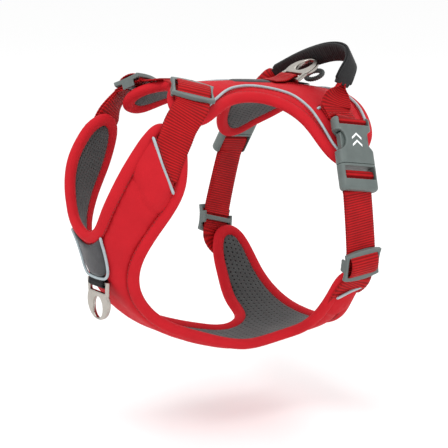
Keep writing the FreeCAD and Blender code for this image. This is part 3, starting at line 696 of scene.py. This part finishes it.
def girth_slider_seat(side, place, buckle):
    t, a = place
    origin = body(t, a * side, GIRTH_SLIDER_OFFSET)
    target = buckle.point(0, -MALE_LENGTH, 2.8)
    return Seat(origin, target - origin, outward(t, a * side))


def neck_slider_seat(side, place, run):
    t, a = place
    origin = body(t, a * side, NECK_SLIDER_OFFSET)
    ahead = body(t + NECK_SKEW * (run[0][0] - t), run[0][1] * side, NECK_SLIDER_OFFSET)
    return Seat(origin, ahead - origin, outward(t, (a - NECK_TILT) * side))


# ---- materials ---------------------------------------------------------------------------

class Shader:
    """A material's node tree, built up one node at a time."""

    def __init__(self, name):
        self.material = bpy.data.materials.new(name)
        self.material.use_nodes = True
        self.tree = self.material.node_tree
        self.surface = self.tree.nodes["Principled BSDF"]

    def add(self, kind, **inputs):
        """New node; inputs named after its sockets, or i0, i1 for unnamed ones."""
        node = self.tree.nodes.new("ShaderNode" + kind)
        for key, value in inputs.items():
            if key in ("operation", "blend_type"):
                setattr(node, key, value)
                continue
            is_index = key[0] == "i" and key[1:].isdigit()
            socket = node.inputs[int(key[1:])] if is_index else node.inputs[key.replace("_", " ")]
            self.put(socket, value)
        return node

    def put(self, socket, value):
        if isinstance(value, bpy.types.NodeSocket):
            self.tree.links.new(value, socket)
        elif isinstance(value, tuple) and socket.type == "RGBA":
            socket.default_value = value + (1.0,) if len(value) == 3 else value
        else:
            socket.default_value = value

    def math(self, operation, a, b=0.0):
        return self.add("Math", operation=operation, i0=a, i1=b).outputs[0]

    def place(self):
        return self.add("TexCoord").outputs["Object"]

    def cloth_place(self):
        """Millimetres across and along the cloth, as two sockets."""
        uv = self.add("TexCoord").outputs["UV"]
        parts = self.add("SeparateXYZ", Vector=uv)
        return [self.math("MULTIPLY", parts.outputs[i], 1 / UV_SCALE) for i in (0, 1)]

    def noise(self, scale, detail=2.0):
        """Noise with a lump size of about 1/scale metres, as a number about 0.5."""
        return self.add("TexNoise", Vector=self.place(), Scale=scale, Detail=detail).outputs[0]

    def mix(self, share, low, high):
        return self.add("MixRGB", Fac=share, Color1=low, Color2=high).outputs[0]

    def times(self, colour, share):
        node = self.add("MixRGB", blend_type="MULTIPLY", Fac=1.0, Color1=colour, Color2=share)
        return node.outputs[0]

    def spread(self, value, low, high, to_low=0.0, to_high=1.0):
        node = self.add("MapRange", Value=value)
        for socket, number in zip(node.inputs[1:5], (low, high, to_low, to_high)):
            socket.default_value = number
        return node.outputs[0]

    def bump(self, height, distance, strength=1.0):
        node = self.add("Bump", Height=height, Strength=strength, Distance=distance * MM)
        return node.outputs[0]

    def done(self, colour, roughness, normal=None, sheen=0.0, tint=(1, 1, 1), metallic=0.0,
             specular=0.4):
        self.put(self.surface.inputs["Base Color"], colour)
        self.put(self.surface.inputs["Roughness"], roughness)
        self.put(self.surface.inputs["Metallic"], metallic)
        self.put(self.surface.inputs["Sheen Weight"], sheen)
        self.put(self.surface.inputs["Sheen Roughness"], 0.45)
        self.put(self.surface.inputs["Sheen Tint"], tint)
        self.put(self.surface.inputs["Specular IOR Level"], specular)
        if normal is not None:
            self.put(self.surface.inputs["Normal"], normal)
        return self.material


def darker(colour, share):
    return tuple(c * share for c in colour)


def softshell(name, colour, grain=1.0):
    """Close-knit stretch fabric with a soft nap and slightly uneven dye."""
    s = Shader(name)
    dye = s.spread(s.noise(55.0, 3.0), 0.3, 0.7)
    knit = s.noise(2600.0, 2.0)
    base = s.mix(dye, darker(colour, 0.90), colour)
    thread = s.spread(knit, 0.35, 0.65, 0.0, 0.22)
    shade = s.mix(thread, base, darker(colour, 0.62))
    normal = s.bump(knit, 0.10 * grain, 0.55)
    rough = s.spread(s.noise(240.0), 0.3, 0.7, 0.58, 0.72)
    return s.done(shade, rough, normal, tint=(1.0, 0.35, 0.32), specular=0.06)


YARN_PITCH = 0.85


def ribbed(name, colour, valley_shade=0.26, tint=(1.0, 0.5, 0.48)):
    """Flat webbing: cross ribs that match the mesh, with painted shade in the valleys between them,
    and yarns along it.
    """
    s = Shader(name)
    across, along = s.cloth_place()
    rib = s.math("COSINE", s.math("MULTIPLY", along, 2 * math.pi / RIB_PITCH))
    rib = s.math("MULTIPLY", s.math("SUBTRACT", 1.0, rib), 0.5)
    yarn = s.math("SINE", s.math("MULTIPLY", across, 2 * math.pi / YARN_PITCH))
    yarn = s.math("ADD", s.math("MULTIPLY", yarn, 0.5), 0.5)
    fibre = s.noise(3600.0, 2.0)
    rib_shade_and_yarn_tone = s.math("ADD", s.math("MULTIPLY", rib, 0.72), s.math("MULTIPLY", yarn, 0.12))
    rib_shade_and_yarn_tone = s.math("ADD", rib_shade_and_yarn_tone, s.math("MULTIPLY", fibre, 0.26))
    wear = s.spread(s.noise(70.0, 3.0), 0.35, 0.7, 0.90, 1.08)
    # Painted shade: the valleys between the ribs are painted darker, as the shade that falls in
    # them; the yarn and fibre noise in the same mask add the webbing's own tone.
    shade = s.mix(rib_shade_and_yarn_tone, darker(colour, valley_shade), colour)
    shade = s.times(shade, wear)
    height = s.math("ADD", s.math("MULTIPLY", rib, 1.0), s.math("MULTIPLY", yarn, 0.35))
    height = s.math("ADD", height, s.math("MULTIPLY", fibre, 0.4))
    normal = s.bump(height, 0.16, 0.7)
    return s.done(shade, 0.6, normal, sheen=0.02, tint=tint, specular=0.12)


HOLE_PITCH = 3.0


def air_mesh(name, colour):
    """Spacer mesh lining: fine knit with a grid of punched holes, painted near black as the shade
    inside them.
    """
    s = Shader(name)
    across, along = s.cloth_place()
    row = s.math("MULTIPLY", along, 1 / HOLE_PITCH)
    shift = s.math("MULTIPLY", s.math("MODULO", s.math("FLOOR", row), 2.0), 0.5)
    column = s.math("ADD", s.math("MULTIPLY", across, 1 / HOLE_PITCH), shift)
    u = s.math("SUBTRACT", s.math("FRACT", column), 0.5)
    v = s.math("SUBTRACT", s.math("FRACT", row), 0.5)
    gap = s.math("SQRT", s.math("ADD", s.math("MULTIPLY", u, u), s.math("MULTIPLY", v, v)))
    hole = s.spread(gap, 0.15, 0.24, 1.0, 0.0)
    knit = s.noise(1900.0, 3.0)
    base = s.mix(s.spread(knit, 0.35, 0.68), darker(colour, 0.55), tuple(c * 1.25 for c in colour))
    patch = s.spread(s.noise(45.0, 2.0), 0.3, 0.7, 0.85, 1.1)
    base = s.times(base, patch)
    # Painted shade: the holes are painted near black, as the shade inside them.
    shade = s.mix(hole, base, (0.004, 0.004, 0.004))
    height = s.math("SUBTRACT", s.math("MULTIPLY", knit, 0.45), hole)
    normal = s.bump(height, 0.45, 0.8)
    return s.done(shade, 0.85, normal, sheen=0.2, specular=0.15)


def woven(name, colour, scale=1500.0, gloss=0.7, sheen=0.25):
    """Plain tight weave, for the patch and the handle."""
    s = Shader(name)
    fine = s.noise(scale, 2.0)
    worn = s.spread(s.noise(90.0, 3.0), 0.3, 0.75, 0.8, 1.3)
    base = s.mix(s.spread(fine, 0.3, 0.7), darker(colour, 0.6), tuple(c * 1.35 for c in colour))
    shade = s.times(base, worn)
    normal = s.bump(fine, 0.14, 0.7)
    return s.done(shade, gloss, normal, sheen=sheen, specular=0.3)


def reflective(name, colour):
    """Retro-reflective tape: grey glass beads with a satin shine."""
    s = Shader(name)
    beads = s.add("TexVoronoi", Vector=s.place(), Scale=5200.0).outputs["Distance"]
    dirt = s.spread(s.noise(160.0, 3.0), 0.35, 0.7, 0.85, 1.05)
    bead = s.spread(beads, 0.1, 0.6)
    shade = s.mix(bead, darker(colour, 1.12), darker(colour, 0.8))
    shade = s.times(shade, dirt)
    normal = s.bump(beads, 0.05, 0.5)
    return s.done(shade, 0.38, normal, specular=0.6)


def moulded_plastic(name, colour, rough=0.42):
    """Injection-moulded acetal: fine spark texture, paler where edges are rubbed."""
    s = Shader(name)
    grain = s.noise(2400.0, 3.0)
    mottled = s.spread(s.noise(120.0, 3.0), 0.3, 0.7, 0.92, 1.08)
    edge = s.spread(s.add("NewGeometry").outputs["Pointiness"], 0.50, 0.60, 0.0, 0.5)
    shade = s.mix(edge, colour, tuple(c * 1.9 for c in colour))
    shade = s.times(shade, mottled)
    normal = s.bump(grain, 0.03, 0.5)
    shine = s.spread(s.noise(300.0, 2.0), 0.3, 0.7, rough - 0.05, rough + 0.08)
    return s.done(shade, shine, normal, specular=0.45)


def satin_metal(name, colour):
    """Tumbled and nickel-plated casting with faint scuffs."""
    s = Shader(name)
    brushed = s.add("TexNoise", Vector=s.place(), Scale=900.0, Detail=4.0).outputs[0]
    scuff = s.spread(s.noise(420.0, 4.0), 0.40, 0.75, 0.27, 0.36)
    shade = s.mix(s.spread(s.noise(80.0, 3.0), 0.3, 0.7), darker(colour, 0.86), colour)
    normal = s.bump(brushed, 0.012, 0.3)
    return s.done(shade, scuff, normal, metallic=1.0)


def soft_rubber(name, colour):
    s = Shader(name)
    bloom = s.spread(s.noise(150.0, 4.0), 0.3, 0.75)
    shade = s.mix(bloom, darker(colour, 0.75), tuple(c * 1.3 for c in colour))
    normal = s.bump(s.noise(1300.0, 3.0), 0.06, 0.6)
    return s.done(shade, 0.6, normal, specular=0.35)


def sewing_thread(name, colour):
    s = Shader(name)
    twist = s.noise(4200.0, 1.0)
    shade = s.mix(twist, darker(colour, 0.5), tuple(min(1, c * 1.4) for c in colour))
    return s.done(shade, 0.6, s.bump(twist, 0.05, 0.6), sheen=0.1)


SHELL_RED = softshell("red_softshell", (0.54, 0.016, 0.024))
BINDING_RED = softshell("red_binding", (0.54, 0.015, 0.023), grain=0.8)
WEB_RED = ribbed("red_webbing", (0.52, 0.008, 0.011))
WEB_BLACK = ribbed("black_webbing", (0.020, 0.020, 0.022), tint=(1, 1, 1))
LINING = air_mesh("mesh_lining", (0.072, 0.075, 0.075))
CHARCOAL = woven("charcoal_fabric", (0.040, 0.040, 0.044))
GRIP = woven("grip_fabric", (0.011, 0.011, 0.012), gloss=0.6, sheen=0.02)
REFLECTIVE = reflective("reflective", (0.42, 0.50, 0.53))
PLASTIC = moulded_plastic("grey_plastic", (0.105, 0.128, 0.122))
NICKEL = satin_metal("satin_nickel", (0.46, 0.43, 0.39))
RUBBER = soft_rubber("grey_rubber", (0.060, 0.068, 0.066))
BADGE = soft_rubber("rubber_badge", (0.045, 0.046, 0.050))
RED_THREAD = sewing_thread("red_thread", (0.30, 0.006, 0.010))
PRINT = moulded_plastic("white_print", (0.62, 0.64, 0.64), rough=0.5)


# ---- padded panels -----------------------------------------------------------------------

LOOP_STEP = 1.6
CELL = 3.2
SEAM = 7.7
SHELL_SEAM = 3.3
SHELL_TOP = 5.7
FLAP_SEAM = 4.7
FLAP_RISE = 4.6
FLAP_CLOTH = 0.7


def build_panel(name, outline, seed):
    loop = smooth_loop(outline, LOOP_STEP)
    place, facing, inward, _ = frames_of(loop)
    edge = binding(name + "_rolled_binding", loop, seed)
    finish_piece(edge, BINDING_RED, "harness", [name + "_binding"])
    seam = stepped(loop, inward, SEAM)
    shell = slab(name + "_outer_shell", seam, CELL, crown(SHELL_SEAM, SHELL_TOP, 2.6, 0.42, seed),
                 flat_height(2.5))
    finish_piece(shell, SHELL_RED, "harness", [name + "_shell", name + "_foam"])
    lining = slab(name + "_mesh_lining", seam, CELL, flat_height(2.3),
                  crown(0.9, -0.4, 4.0, 0.45, seed + 5))
    finish_piece(lining, LINING, "harness", [name + "_lining"])
    rows = []
    for lift, sign in ((4.75, 1), (0.25, -1)):
        path = [(place[i] + inward[i] * 8.0 + facing[i] * lift, facing[i] * sign)
                for i in range(0, len(loop), 2)]
        rows.append({"path": path + path[:1], "lift": 0.1})
    stitches(name + "_seam_stitches", rows, RED_THREAD, "harness")


def trimmed(name, points, step, outer, inner, material, node):
    loop = smooth_loop(points, 1.0)
    piece = slab(name, loop, step, outer, inner)
    return finish_piece(piece, material, "harness", [node])


def pocket(name, outline, mouth, full, side, node):
    """Outer fabric that rises over a strap and is open along its mouth."""
    points = outline if side > 0 else [(t, 360 - a) for t, a in outline]
    lips = mouth if side > 0 else [(t, 360 - a) for t, a in mouth]
    loop = smooth_loop(points, 1.0)
    rim = body(loop[:, 0], loop[:, 1])
    line = spread([(t, a, 0.0) for t, a in lips], 60)
    opening = body(line[:, 0], line[:, 1])
    sewn = rim[nearest(rim, opening) > 2.0]

    def outer(place, gap):
        rise = 1 - np.exp(-(nearest(place, sewn) / FLAP_RISE) ** 1.6)
        return FLAP_SEAM + (full - FLAP_SEAM) * rise + 0.25 * rise * wander(place, 13.0, 4)

    def inner(place, gap):
        return outer(place, gap) - FLAP_CLOTH

    piece = slab(name, loop, 2.0, outer, inner)
    finish_piece(piece, SHELL_RED, "harness", [node])


build_panel("chest", whole_outline(CHEST_LEFT, CHEST_RIGHT, 180), 1)
build_panel("back", whole_outline(BACK_HALF, BACK_HALF, 0), 2)


# ---- hardware ----------------------------------------------------------------------------

# How a hard part is rounded: the size of its voxels and the number of smoothing passes.
BUCKLE_ROUNDING = (0.42, 4)
ARM_ROUNDING = (0.36, 4)
SLIDER_ROUNDING = (0.36, 15)
RING_ROUNDING = (0.32, 26)


def moulded(node, name, material, rides, rounding):
    """A rounded copy of a hard CAD part, as it comes out of a mould or a casting."""
    voxel, passes = rounding
    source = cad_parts[node]
    mesh = source.data.copy()
    obj = bpy.data.objects.new(name, mesh)
    bpy.context.scene.collection.objects.link(obj)
    work = bmesh.new()
    work.from_mesh(mesh)
    bmesh.ops.remove_doubles(work, verts=work.verts, dist=1e-6)
    work.to_mesh(mesh)
    work.free()
    remesh = obj.modifiers.new("remesh", "REMESH")
    remesh.mode = "VOXEL"
    remesh.voxel_size = voxel * MM
    soften = obj.modifiers.new("soften", "SMOOTH")
    soften.factor = 0.5
    soften.iterations = passes
    evaluated = obj.evaluated_get(bpy.context.evaluated_depsgraph_get())
    final = bpy.data.meshes.new_from_object(evaluated)
    obj.modifiers.clear()
    obj.data = final
    final.polygons.foreach_set("use_smooth", [True] * len(final.polygons))
    return finish_piece(obj, material, rides, [node])


def hump(name, seat, node, rides):
    """The webbing where it climbs over a slider's centre bar."""
    shape = HUMP + [(-v, w) for v, w in HUMP[-2::-1]]
    path = []
    for i, (v, w) in enumerate(shape):
        before = shape[max(0, i - 1)]
        after = shape[min(len(shape) - 1, i + 1)]
        run = unit(np.array([after[0] - before[0], after[1] - before[1]], float))
        normal = seat.v * -run[1] + seat.w * run[0]
        path.append((seat.point(0, v, w), normal))
    piece = webbing(name, path, HUMP_WIDTH)
    return finish_piece(piece, WEB_RED, rides, [node])


def girth_webbing(name, side, buckle, seat):
    t, a = GIRTH_SLIDER[name]
    path = on_body([(t + GIRTH_TAIL[name], a + b, h) for b, h in GIRTH_TAIL_RUN], side)
    path += [(seat.point(0, v, 0), seat.w) for v in GIRTH_THROUGH_SLIDER]
    path += [(buckle.point(0, v, w), buckle.w) for v, w in GIRTH_INTO_PLUG]
    path.append((buckle.point(0, -12.0, 3.7), unit(buckle.w - buckle.v * 0.7)))
    path += buckle.round_bar(MALE_BAR, BAR_HEIGHT, EYE_INNER, (175, 150) + HALF_TURN)
    path += [(buckle.point(0, v, w), -buckle.w) for v, w in GIRTH_OUT_OF_PLUG]
    path += [(seat.point(0, v, -0.25), -seat.w) for v in GIRTH_RETURN]
    piece = webbing("girth_webbing_" + name, path)
    finish_piece(piece, WEB_RED, None, ["girth_strap_" + name, "girth_strap_return_" + name])
    tuple(seat.point(0, 14, 0) * MM)
    tuple(buckle.point(0, -22, 2.8) * MM)
    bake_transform(piece)
    moulded("girth_slider_" + name, "girth_adjuster_" + name, PLASTIC,
            "girth_slider_" + name, SLIDER_ROUNDING)
    hump("girth_hump_" + name, seat, "girth_strap_loop_" + name, "girth_slider_" + name)


def neck_webbing(name, side, seat):
    run = NECK_RUN[name]
    path = on_body([(NECK_SLIDER[name][0] - 0.2, NECK_STRAP_START, 6.8)], side)
    path += [(seat.point(0, v, w), seat.w) for v, w in NECK_THROUGH_SLIDER]
    path += on_body([(u, b, h) for (u, b), h in zip(run, NECK_HEIGHTS)], side)
    piece = webbing("neck_webbing_" + name, path)
    finish_piece(piece, WEB_RED, "harness", ["neck_strap_" + name])
    under = [(seat.point(0, v, -1.9), seat.w) for v in (4.2, 15)]
    under += on_body([(u, b, h) for (u, b), h in zip(run, NECK_RETURN_HEIGHTS)], side)
    second = webbing("neck_webbing_return_" + name, under)
    finish_piece(second, WEB_RED, "harness", ["neck_strap_return_" + name])
    moulded("neck_slider_" + name, "neck_adjuster_" + name, PLASTIC,
            "neck_slider_" + name, SLIDER_ROUNDING)
    hump("neck_hump_" + name, seat, "neck_strap_loop_" + name, "neck_slider_" + name)


CHEVRON = [(-4.2, 0.0), (0.0, 3.6), (4.2, 0.0), (4.2, 1.7), (0.0, 5.3), (-4.2, 1.7)]
CHEVRON_LIFTS = (13.0, 18.5)
CHEVRON_HEIGHTS = (10.7, 11.25)


def chevrons(name, seat):
    """Two plain raised chevrons printed on the buckle's face."""
    verts = []
    faces = []
    for lift in CHEVRON_LIFTS:
        base = len(verts)
        for w in CHEVRON_HEIGHTS:
            verts += [seat.point(u, lift + v, w) for u, v in CHEVRON]
        for quad in ((0, 1, 4, 5), (1, 2, 3, 4)):
            faces.append(tuple(base + 6 + k for k in quad))
            faces.append(tuple(base + k for k in quad[::-1]))
        for k in range(6):
            n = (k + 1) % 6
            faces.append((base + k, base + n, base + 6 + n, base + 6 + k))
    piece = new_object(name, verts, faces)
    piece.data.polygons.foreach_set("use_smooth", [False] * len(piece.data.polygons))
    finish_piece(piece, PRINT, "harness")


# ---- handle ------------------------------------------------------------------------------

def handle_path(offset):
    lean = math.radians(HANDLE_LEAN)
    across = np.array([0, math.cos(lean), -math.sin(lean)])
    points = np.array(HANDLE_ARCH, float)
    path = []
    for i, point in enumerate(points):
        run = points[min(len(points) - 1, i + 1)] - points[max(0, i - 1)]
        normal = unit(np.cross(run, across))
        path.append((point + normal * (offset - HANDLE_THICKNESS / 2), normal))
    return path


def grip_section(share, s):
    """Closed outline (across, height) of the padded grip at a place along it."""
    ends = min(1.0, min(share, 1 - share) / 0.05)
    half = HANDLE_WIDTH / 2 * (0.86 + 0.14 * ends)
    full = HANDLE_THICKNESS * (0.72 + 0.28 * ends)
    ridge = sum(tall * math.sin(2 * math.pi * s / pitch + phase)
                for tall, pitch, phase in GRIP_RIDGES)
    outline = []
    steps = 17
    for j in range(steps):
        x = 1 - 2 * j / (steps - 1)
        crown_height = full + 0.4 * (1 - x * x) - 0.5 * math.exp(-((abs(x) - 0.82) / 0.05) ** 2)
        outline.append((x * half, crown_height))
    for j in range(steps):
        x = -1 + 2 * j / (steps - 1)
        wrinkle = ridge * (1 - x ** 4)
        belly = 0.1 - 0.5 * (1 - x * x) + wrinkle
        outline.append((x * half, belly))
    return outline


def build_handle():
    line, facing, across, s = smooth_path(handle_path(0), 0.6)

    def section(i):
        return [(u, w, (u, s[i])) for u, w in grip_section(s[i] / s[-1], s[i])]

    grip = swept("handle_grip", line, facing, across, section)
    finish_piece(grip, GRIP, "handle", ["handle_sleeve", "handle_core"])
    for label, sign in (("front", 1), ("rear", -1)):
        for row, height in (("outer", 3.4), ("inner", 0.9)):
            path = [(line[i] + across[i] * sign * (HANDLE_WIDTH / 2 - 0.2) + facing[i] * height,
                     across[i] * sign) for i in range(4, len(line) - 4, 4)]
            bead = piping("handle_piping_%s_%s" % (row, label), path, 0.8, 0.45)
            finish_piece(bead, GRIP, "handle")


def handle_foot(name, side, buckle):
    """Webbing sewn to the panel: it rises to the grip, and it turns round the buckle's bar."""
    arch = handle_path((HANDLE_THICKNESS - WEBBING) / 2)
    point, normal = arch[-1] if side > 0 else arch[0]
    neighbour = arch[-2][0] if side > 0 else arch[1][0]
    t, a = HANDLE_FOOT[name]
    drop = unit(point - neighbour)
    foot = on_body([(t, a + b, h) for b, h in HANDLE_FOOT_RUN], side)
    path = foot + [(point + drop * 5, normal), (point - drop * 3.0, normal)]

    def gather(share):
        return min(1.0, max(0.0, (share - GATHER_FROM) / GATHER_OVER)) ** 1.5

    rise = webbing("handle_webbing_" + name, path, gather=gather, columns=33)
    finish_piece(rise, WEB_RED, None, ["handle_end_" + name])
    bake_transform(rise)
    corners = [(t + u, a + b, BOX_HEIGHT) for u, b in BOX_CORNERS]
    rows = []
    for i, j in ((0, 1), (1, 2), (2, 3), (3, 0), (0, 2), (1, 3)):
        ends = spread([corners[i], corners[j]], 5)
        rows.append({"path": on_body([tuple(p) for p in ends], side), "lift": 0.05})
    stitches("handle_box_stitches_" + name, rows, RED_THREAD, "harness")
    base = on_body([(t, a + b, h) for b, h in ANCHOR_RUN], side)
    base += buckle.round_bar(FEMALE_BAR, BAR_HEIGHT, EYE_INNER, ANCHOR_TURN)
    base.append((buckle.point(0, FEMALE_BAR + 4, 2.9), -buckle.w))
    anchor = webbing("buckle_webbing_" + name, base)
    finish_piece(anchor, WEB_RED, "harness", ["buckle_anchor_" + name])


# ---- rings -------------------------------------------------------------------------------

def ring_keeper(name, points, pivot, material, node):
    """Folded tab of webbing: sewn down at its tail, round the ring's bar at its head."""
    head = Seat(pivot[0], pivot[0] - points[-1][0], pivot[1])
    path = list(points)
    path += head.round_bar(0, 0, KEEPER_INNER, HALF_TURN[1:])
    path += [(p - n * 1.4, -n) for p, n in points[::-1]]
    piece = webbing(name, path, KEEPER_WIDTH)
    finish_piece(piece, material, "harness", [node])


def lean_seat(point, lean):
    turn = math.radians(lean)
    along = np.array([0, math.sin(turn), math.cos(turn)])
    return Seat(point, along, np.array([0, -math.cos(turn), math.sin(turn)]))


def tag_ring(seat):
    """Ribbed rubber loop."""
    rings = []
    steps = 5 * TAG_RIBS
    for i in range(steps):
        turn = 2 * math.pi * i / steps
        centre = seat.point(TAG_WIDE * math.cos(turn), TAG_TALL * (1 + math.sin(turn)), 0)
        out = unit(seat.u * math.cos(turn) + seat.v * math.sin(turn))
        rib = 1 + 0.10 * math.cos(TAG_RIBS * turn)
        ring = []
        for k in range(12):
            spin = 2 * math.pi * k / 12
            ring.append(centre + out * math.cos(spin) * TAG_ROUND[0] * rib
                        + seat.w * math.sin(spin) * TAG_ROUND[1] * rib)
        rings.append(ring)
    verts, faces = tube(rings, closed=True)
    return new_object("tag_ring", verts, faces)


def build_rings():
    t = TOP_RING
    tail = on_body([(t + u, 0, h) for u, h in TOP_KEEPER_RUN])
    pivot = (body(t, 0, RING_LIFT), outward(t, 0))
    ring_keeper("top_keeper_webbing", tail, pivot, WEB_RED, "top_ring_keeper")
    moulded("top_leash_ring", "top_ring_cast", NICKEL, "top_ring", RING_ROUNDING)
    t = FRONT_RING
    tail = on_body([(t + u, 180, h) for u, h in FRONT_KEEPER_RUN])
    pivot = (body(t, 180, RING_LIFT), outward(t, 180))
    ring_keeper("front_keeper_webbing", tail, pivot, WEB_BLACK,
                "front_ring_keeper")
    moulded("front_leash_ring", "front_ring_cast", NICKEL, "front_ring",
            RING_ROUNDING)
    t, lean = TAG
    loop = tag_ring(lean_seat(body(t, 0, RING_LIFT + 1), lean))
    finish_piece(loop, RUBBER, "tag", ["tag_loop"])
    run = on_body([(t + u, 0, PANEL + 0.6) for u in (0.36, 0.2, 0.06)])
    tab = webbing("tag_webbing", run, TAG_TAB_WIDTH, TAG_TAB)
    finish_piece(tab, WEB_BLACK, "harness", ["tag_tab"])


# ---- trims -------------------------------------------------------------------------------

def sewn_piping(name, points, lift, node, side=1, stitched=True):
    """Reflective piping with a row of stitches beside it."""
    lifts = lift if isinstance(lift, tuple) else (lift,) * len(points)
    smooth = spread([(t, a, h) for (t, a), h in zip(points, lifts)], 5 * len(points))
    path = on_body([tuple(p) for p in smooth], side)
    piece = piping(name, path)
    finish_piece(piece, REFLECTIVE, "harness", [node])
    if stitched:
        rows = [{"path": path, "lift": 0.25, "inset": -2.5}]
        stitches(name + "_stitches", rows, RED_THREAD, "harness")


def build_trims():
    patch = whole_outline(PATCH_HALF, PATCH_HALF, 180)
    keeper = body(FRONT_RING, 180)
    cloth = crown(*PATCH_HEIGHTS, 1.5, 0.12, 8)

    def over_keeper(place, gap):
        away = np.linalg.norm(place - keeper, axis=1)
        return cloth(place, gap) + BULGE * np.exp(-(away / BULGE_REACH) ** 2)

    def under(place, gap):
        return over_keeper(place, gap) - FLAP_CLOTH

    cloth_patch = trimmed("breast_patch", patch, 2.0, over_keeper, under, CHARCOAL,
                          "chest_patch")
    mirror = [(t, 360 - a) for t, a in PATCH_PIPING[::-1]]
    sewn_piping("patch_piping", PATCH_PIPING + mirror, PATCH_LIFT + PATCH_LIFT[::-1],
                "chest_patch_piping", 1, False)
    sewn_piping("rear_edge_piping", REAR_PIPING, PIPING_LIFT, "rear_piping")
    badge = whole_outline(LABEL, LABEL, 0)
    trimmed("back_badge", badge, 1.6, crown(*BADGE_HEIGHTS, 1.0, 0.02, 6), flat_height(4.6),
            BADGE, "back_label")
    for name, side in SIDES.items():
        sewn_piping("back_piping_" + name, EDGE_PIPING, PIPING_LIFT, "edge_piping_" + name, side)
        sewn_piping("foot_piping_" + name, FOOT_PIPING, PIPING_LIFT,
                    "handle_foot_piping_" + name, side)
        flap = [(t + CHEST_FLAP_SHIFT[name], a) for t, a in CHEST_MOUTH + CHEST_FLAP_END]
        mouth = flap[:len(CHEST_MOUTH)]
        pocket("chest_pocket_flap_" + name, flap, mouth, CHEST_FLAP_TOP, side,
               "chest_pocket_" + name)
        pocket("belly_pocket_flap_" + name, BELLY_MOUTH + BELLY_FLAP_END, BELLY_MOUTH,
               BELLY_FLAP_TOP, side, "belly_pocket_" + name)
        sewn_piping("chest_mouth_piping_" + name, mouth, CHEST_MOUTH_LIFT,
                    "chest_pocket_piping_" + name, side)
        sewn_piping("belly_mouth_piping_" + name, BELLY_MOUTH, BELLY_MOUTH_LIFT,
                    "belly_pocket_piping_" + name, side)


build_rings()
build_handle()
build_trims()
for name, side in SIDES.items():
    buckle = buckle_seat(side, BUCKLE_STATION[name])
    handle_foot(name, side, buckle)
    moulded("buckle_female_" + name, "buckle_socket_" + name, PLASTIC,
            "harness", BUCKLE_ROUNDING)
    moulded("buckle_male_" + name, "buckle_plug_" + name, PLASTIC,
            "plug_" + name, BUCKLE_ROUNDING)
    for label in ("front", "rear"):
        moulded("buckle_arm_%s_%s" % (label, name), "buckle_tab_%s_%s" % (label, name), PLASTIC,
                "arm_%s_%s" % (label, name), ARM_ROUNDING)
    chevrons("buckle_print_" + name, buckle)
    girth = girth_slider_seat(side, GIRTH_SLIDER[name], buckle)
    girth_webbing(name, side, buckle, girth)
    neck_webbing(name, side, neck_slider_seat(side, NECK_SLIDER[name], NECK_RUN[name]))


# ---- floor, light and camera -------------------------------------------------------------

CAMERA_AZIMUTH = 52.7
CAMERA_ELEVATION = 12.7
CAMERA_DISTANCE = 1.24
CAMERA_LENS = 128.6
FLOOR_Z = -0.158
FLOOR_HALF = 30.0

# Name, azimuth, elevation, distance, size and power.
LIGHTS = [
    ("key", 25, 58, 1.6, 0.8, 8),
    ("fill", 100, 35, 1.8, 1.2, 3),
    ("back", 215, 50, 1.6, 0.9, 3),
]


def towards(azimuth, elevation):
    a = math.radians(azimuth)
    e = math.radians(elevation)
    return Vector((math.sin(a) * math.cos(e), -math.cos(a) * math.cos(e), math.sin(e)))


def look_at(obj, place, target=Vector((0, 0, 0))):
    obj.location = place
    obj.rotation_euler = (target - place).to_track_quat("-Z", "Y").to_euler()


def add_camera():
    data = bpy.data.cameras.new("camera")
    data.lens = CAMERA_LENS
    data.sensor_width = 36.0
    camera = bpy.data.objects.new("camera", data)
    bpy.context.scene.collection.objects.link(camera)
    look_at(camera, towards(CAMERA_AZIMUTH, CAMERA_ELEVATION) * CAMERA_DISTANCE)
    bpy.context.scene.camera = camera


def add_light(name, azimuth, elevation, distance, size, power):
    data = bpy.data.lights.new(name, "AREA")
    data.shape = "DISK"
    data.size = size
    data.energy = power
    light = bpy.data.objects.new(name, data)
    bpy.context.scene.collection.objects.link(light)
    look_at(light, towards(azimuth, elevation) * distance)


def add_floor():
    mesh = bpy.data.meshes.new("floor")
    square = ((-1, -1), (1, -1), (1, 1), (-1, 1))
    corners = [(x * FLOOR_HALF, y * FLOOR_HALF, FLOOR_Z) for x, y in square]
    mesh.from_pydata(corners, [], [(0, 1, 2, 3)])
    floor = bpy.data.objects.new("floor", mesh)
    bpy.context.scene.collection.objects.link(floor)
    s = Shader("pale_floor")
    mesh.materials.append(s.done((0.97, 0.97, 0.97), 0.95, specular=0.0))


def add_world():
    world = bpy.data.worlds.new("studio")
    world.use_nodes = True
    world.node_tree.nodes["Background"].inputs[0].default_value = (1.0, 1.0, 1.0, 1.0)
    world.node_tree.nodes["Background"].inputs[1].default_value = 1.0
    bpy.context.scene.world = world


add_camera()
for row in LIGHTS:
    add_light(*row)
add_floor()
add_world()
bpy.context.scene.view_settings.view_transform = "Standard"
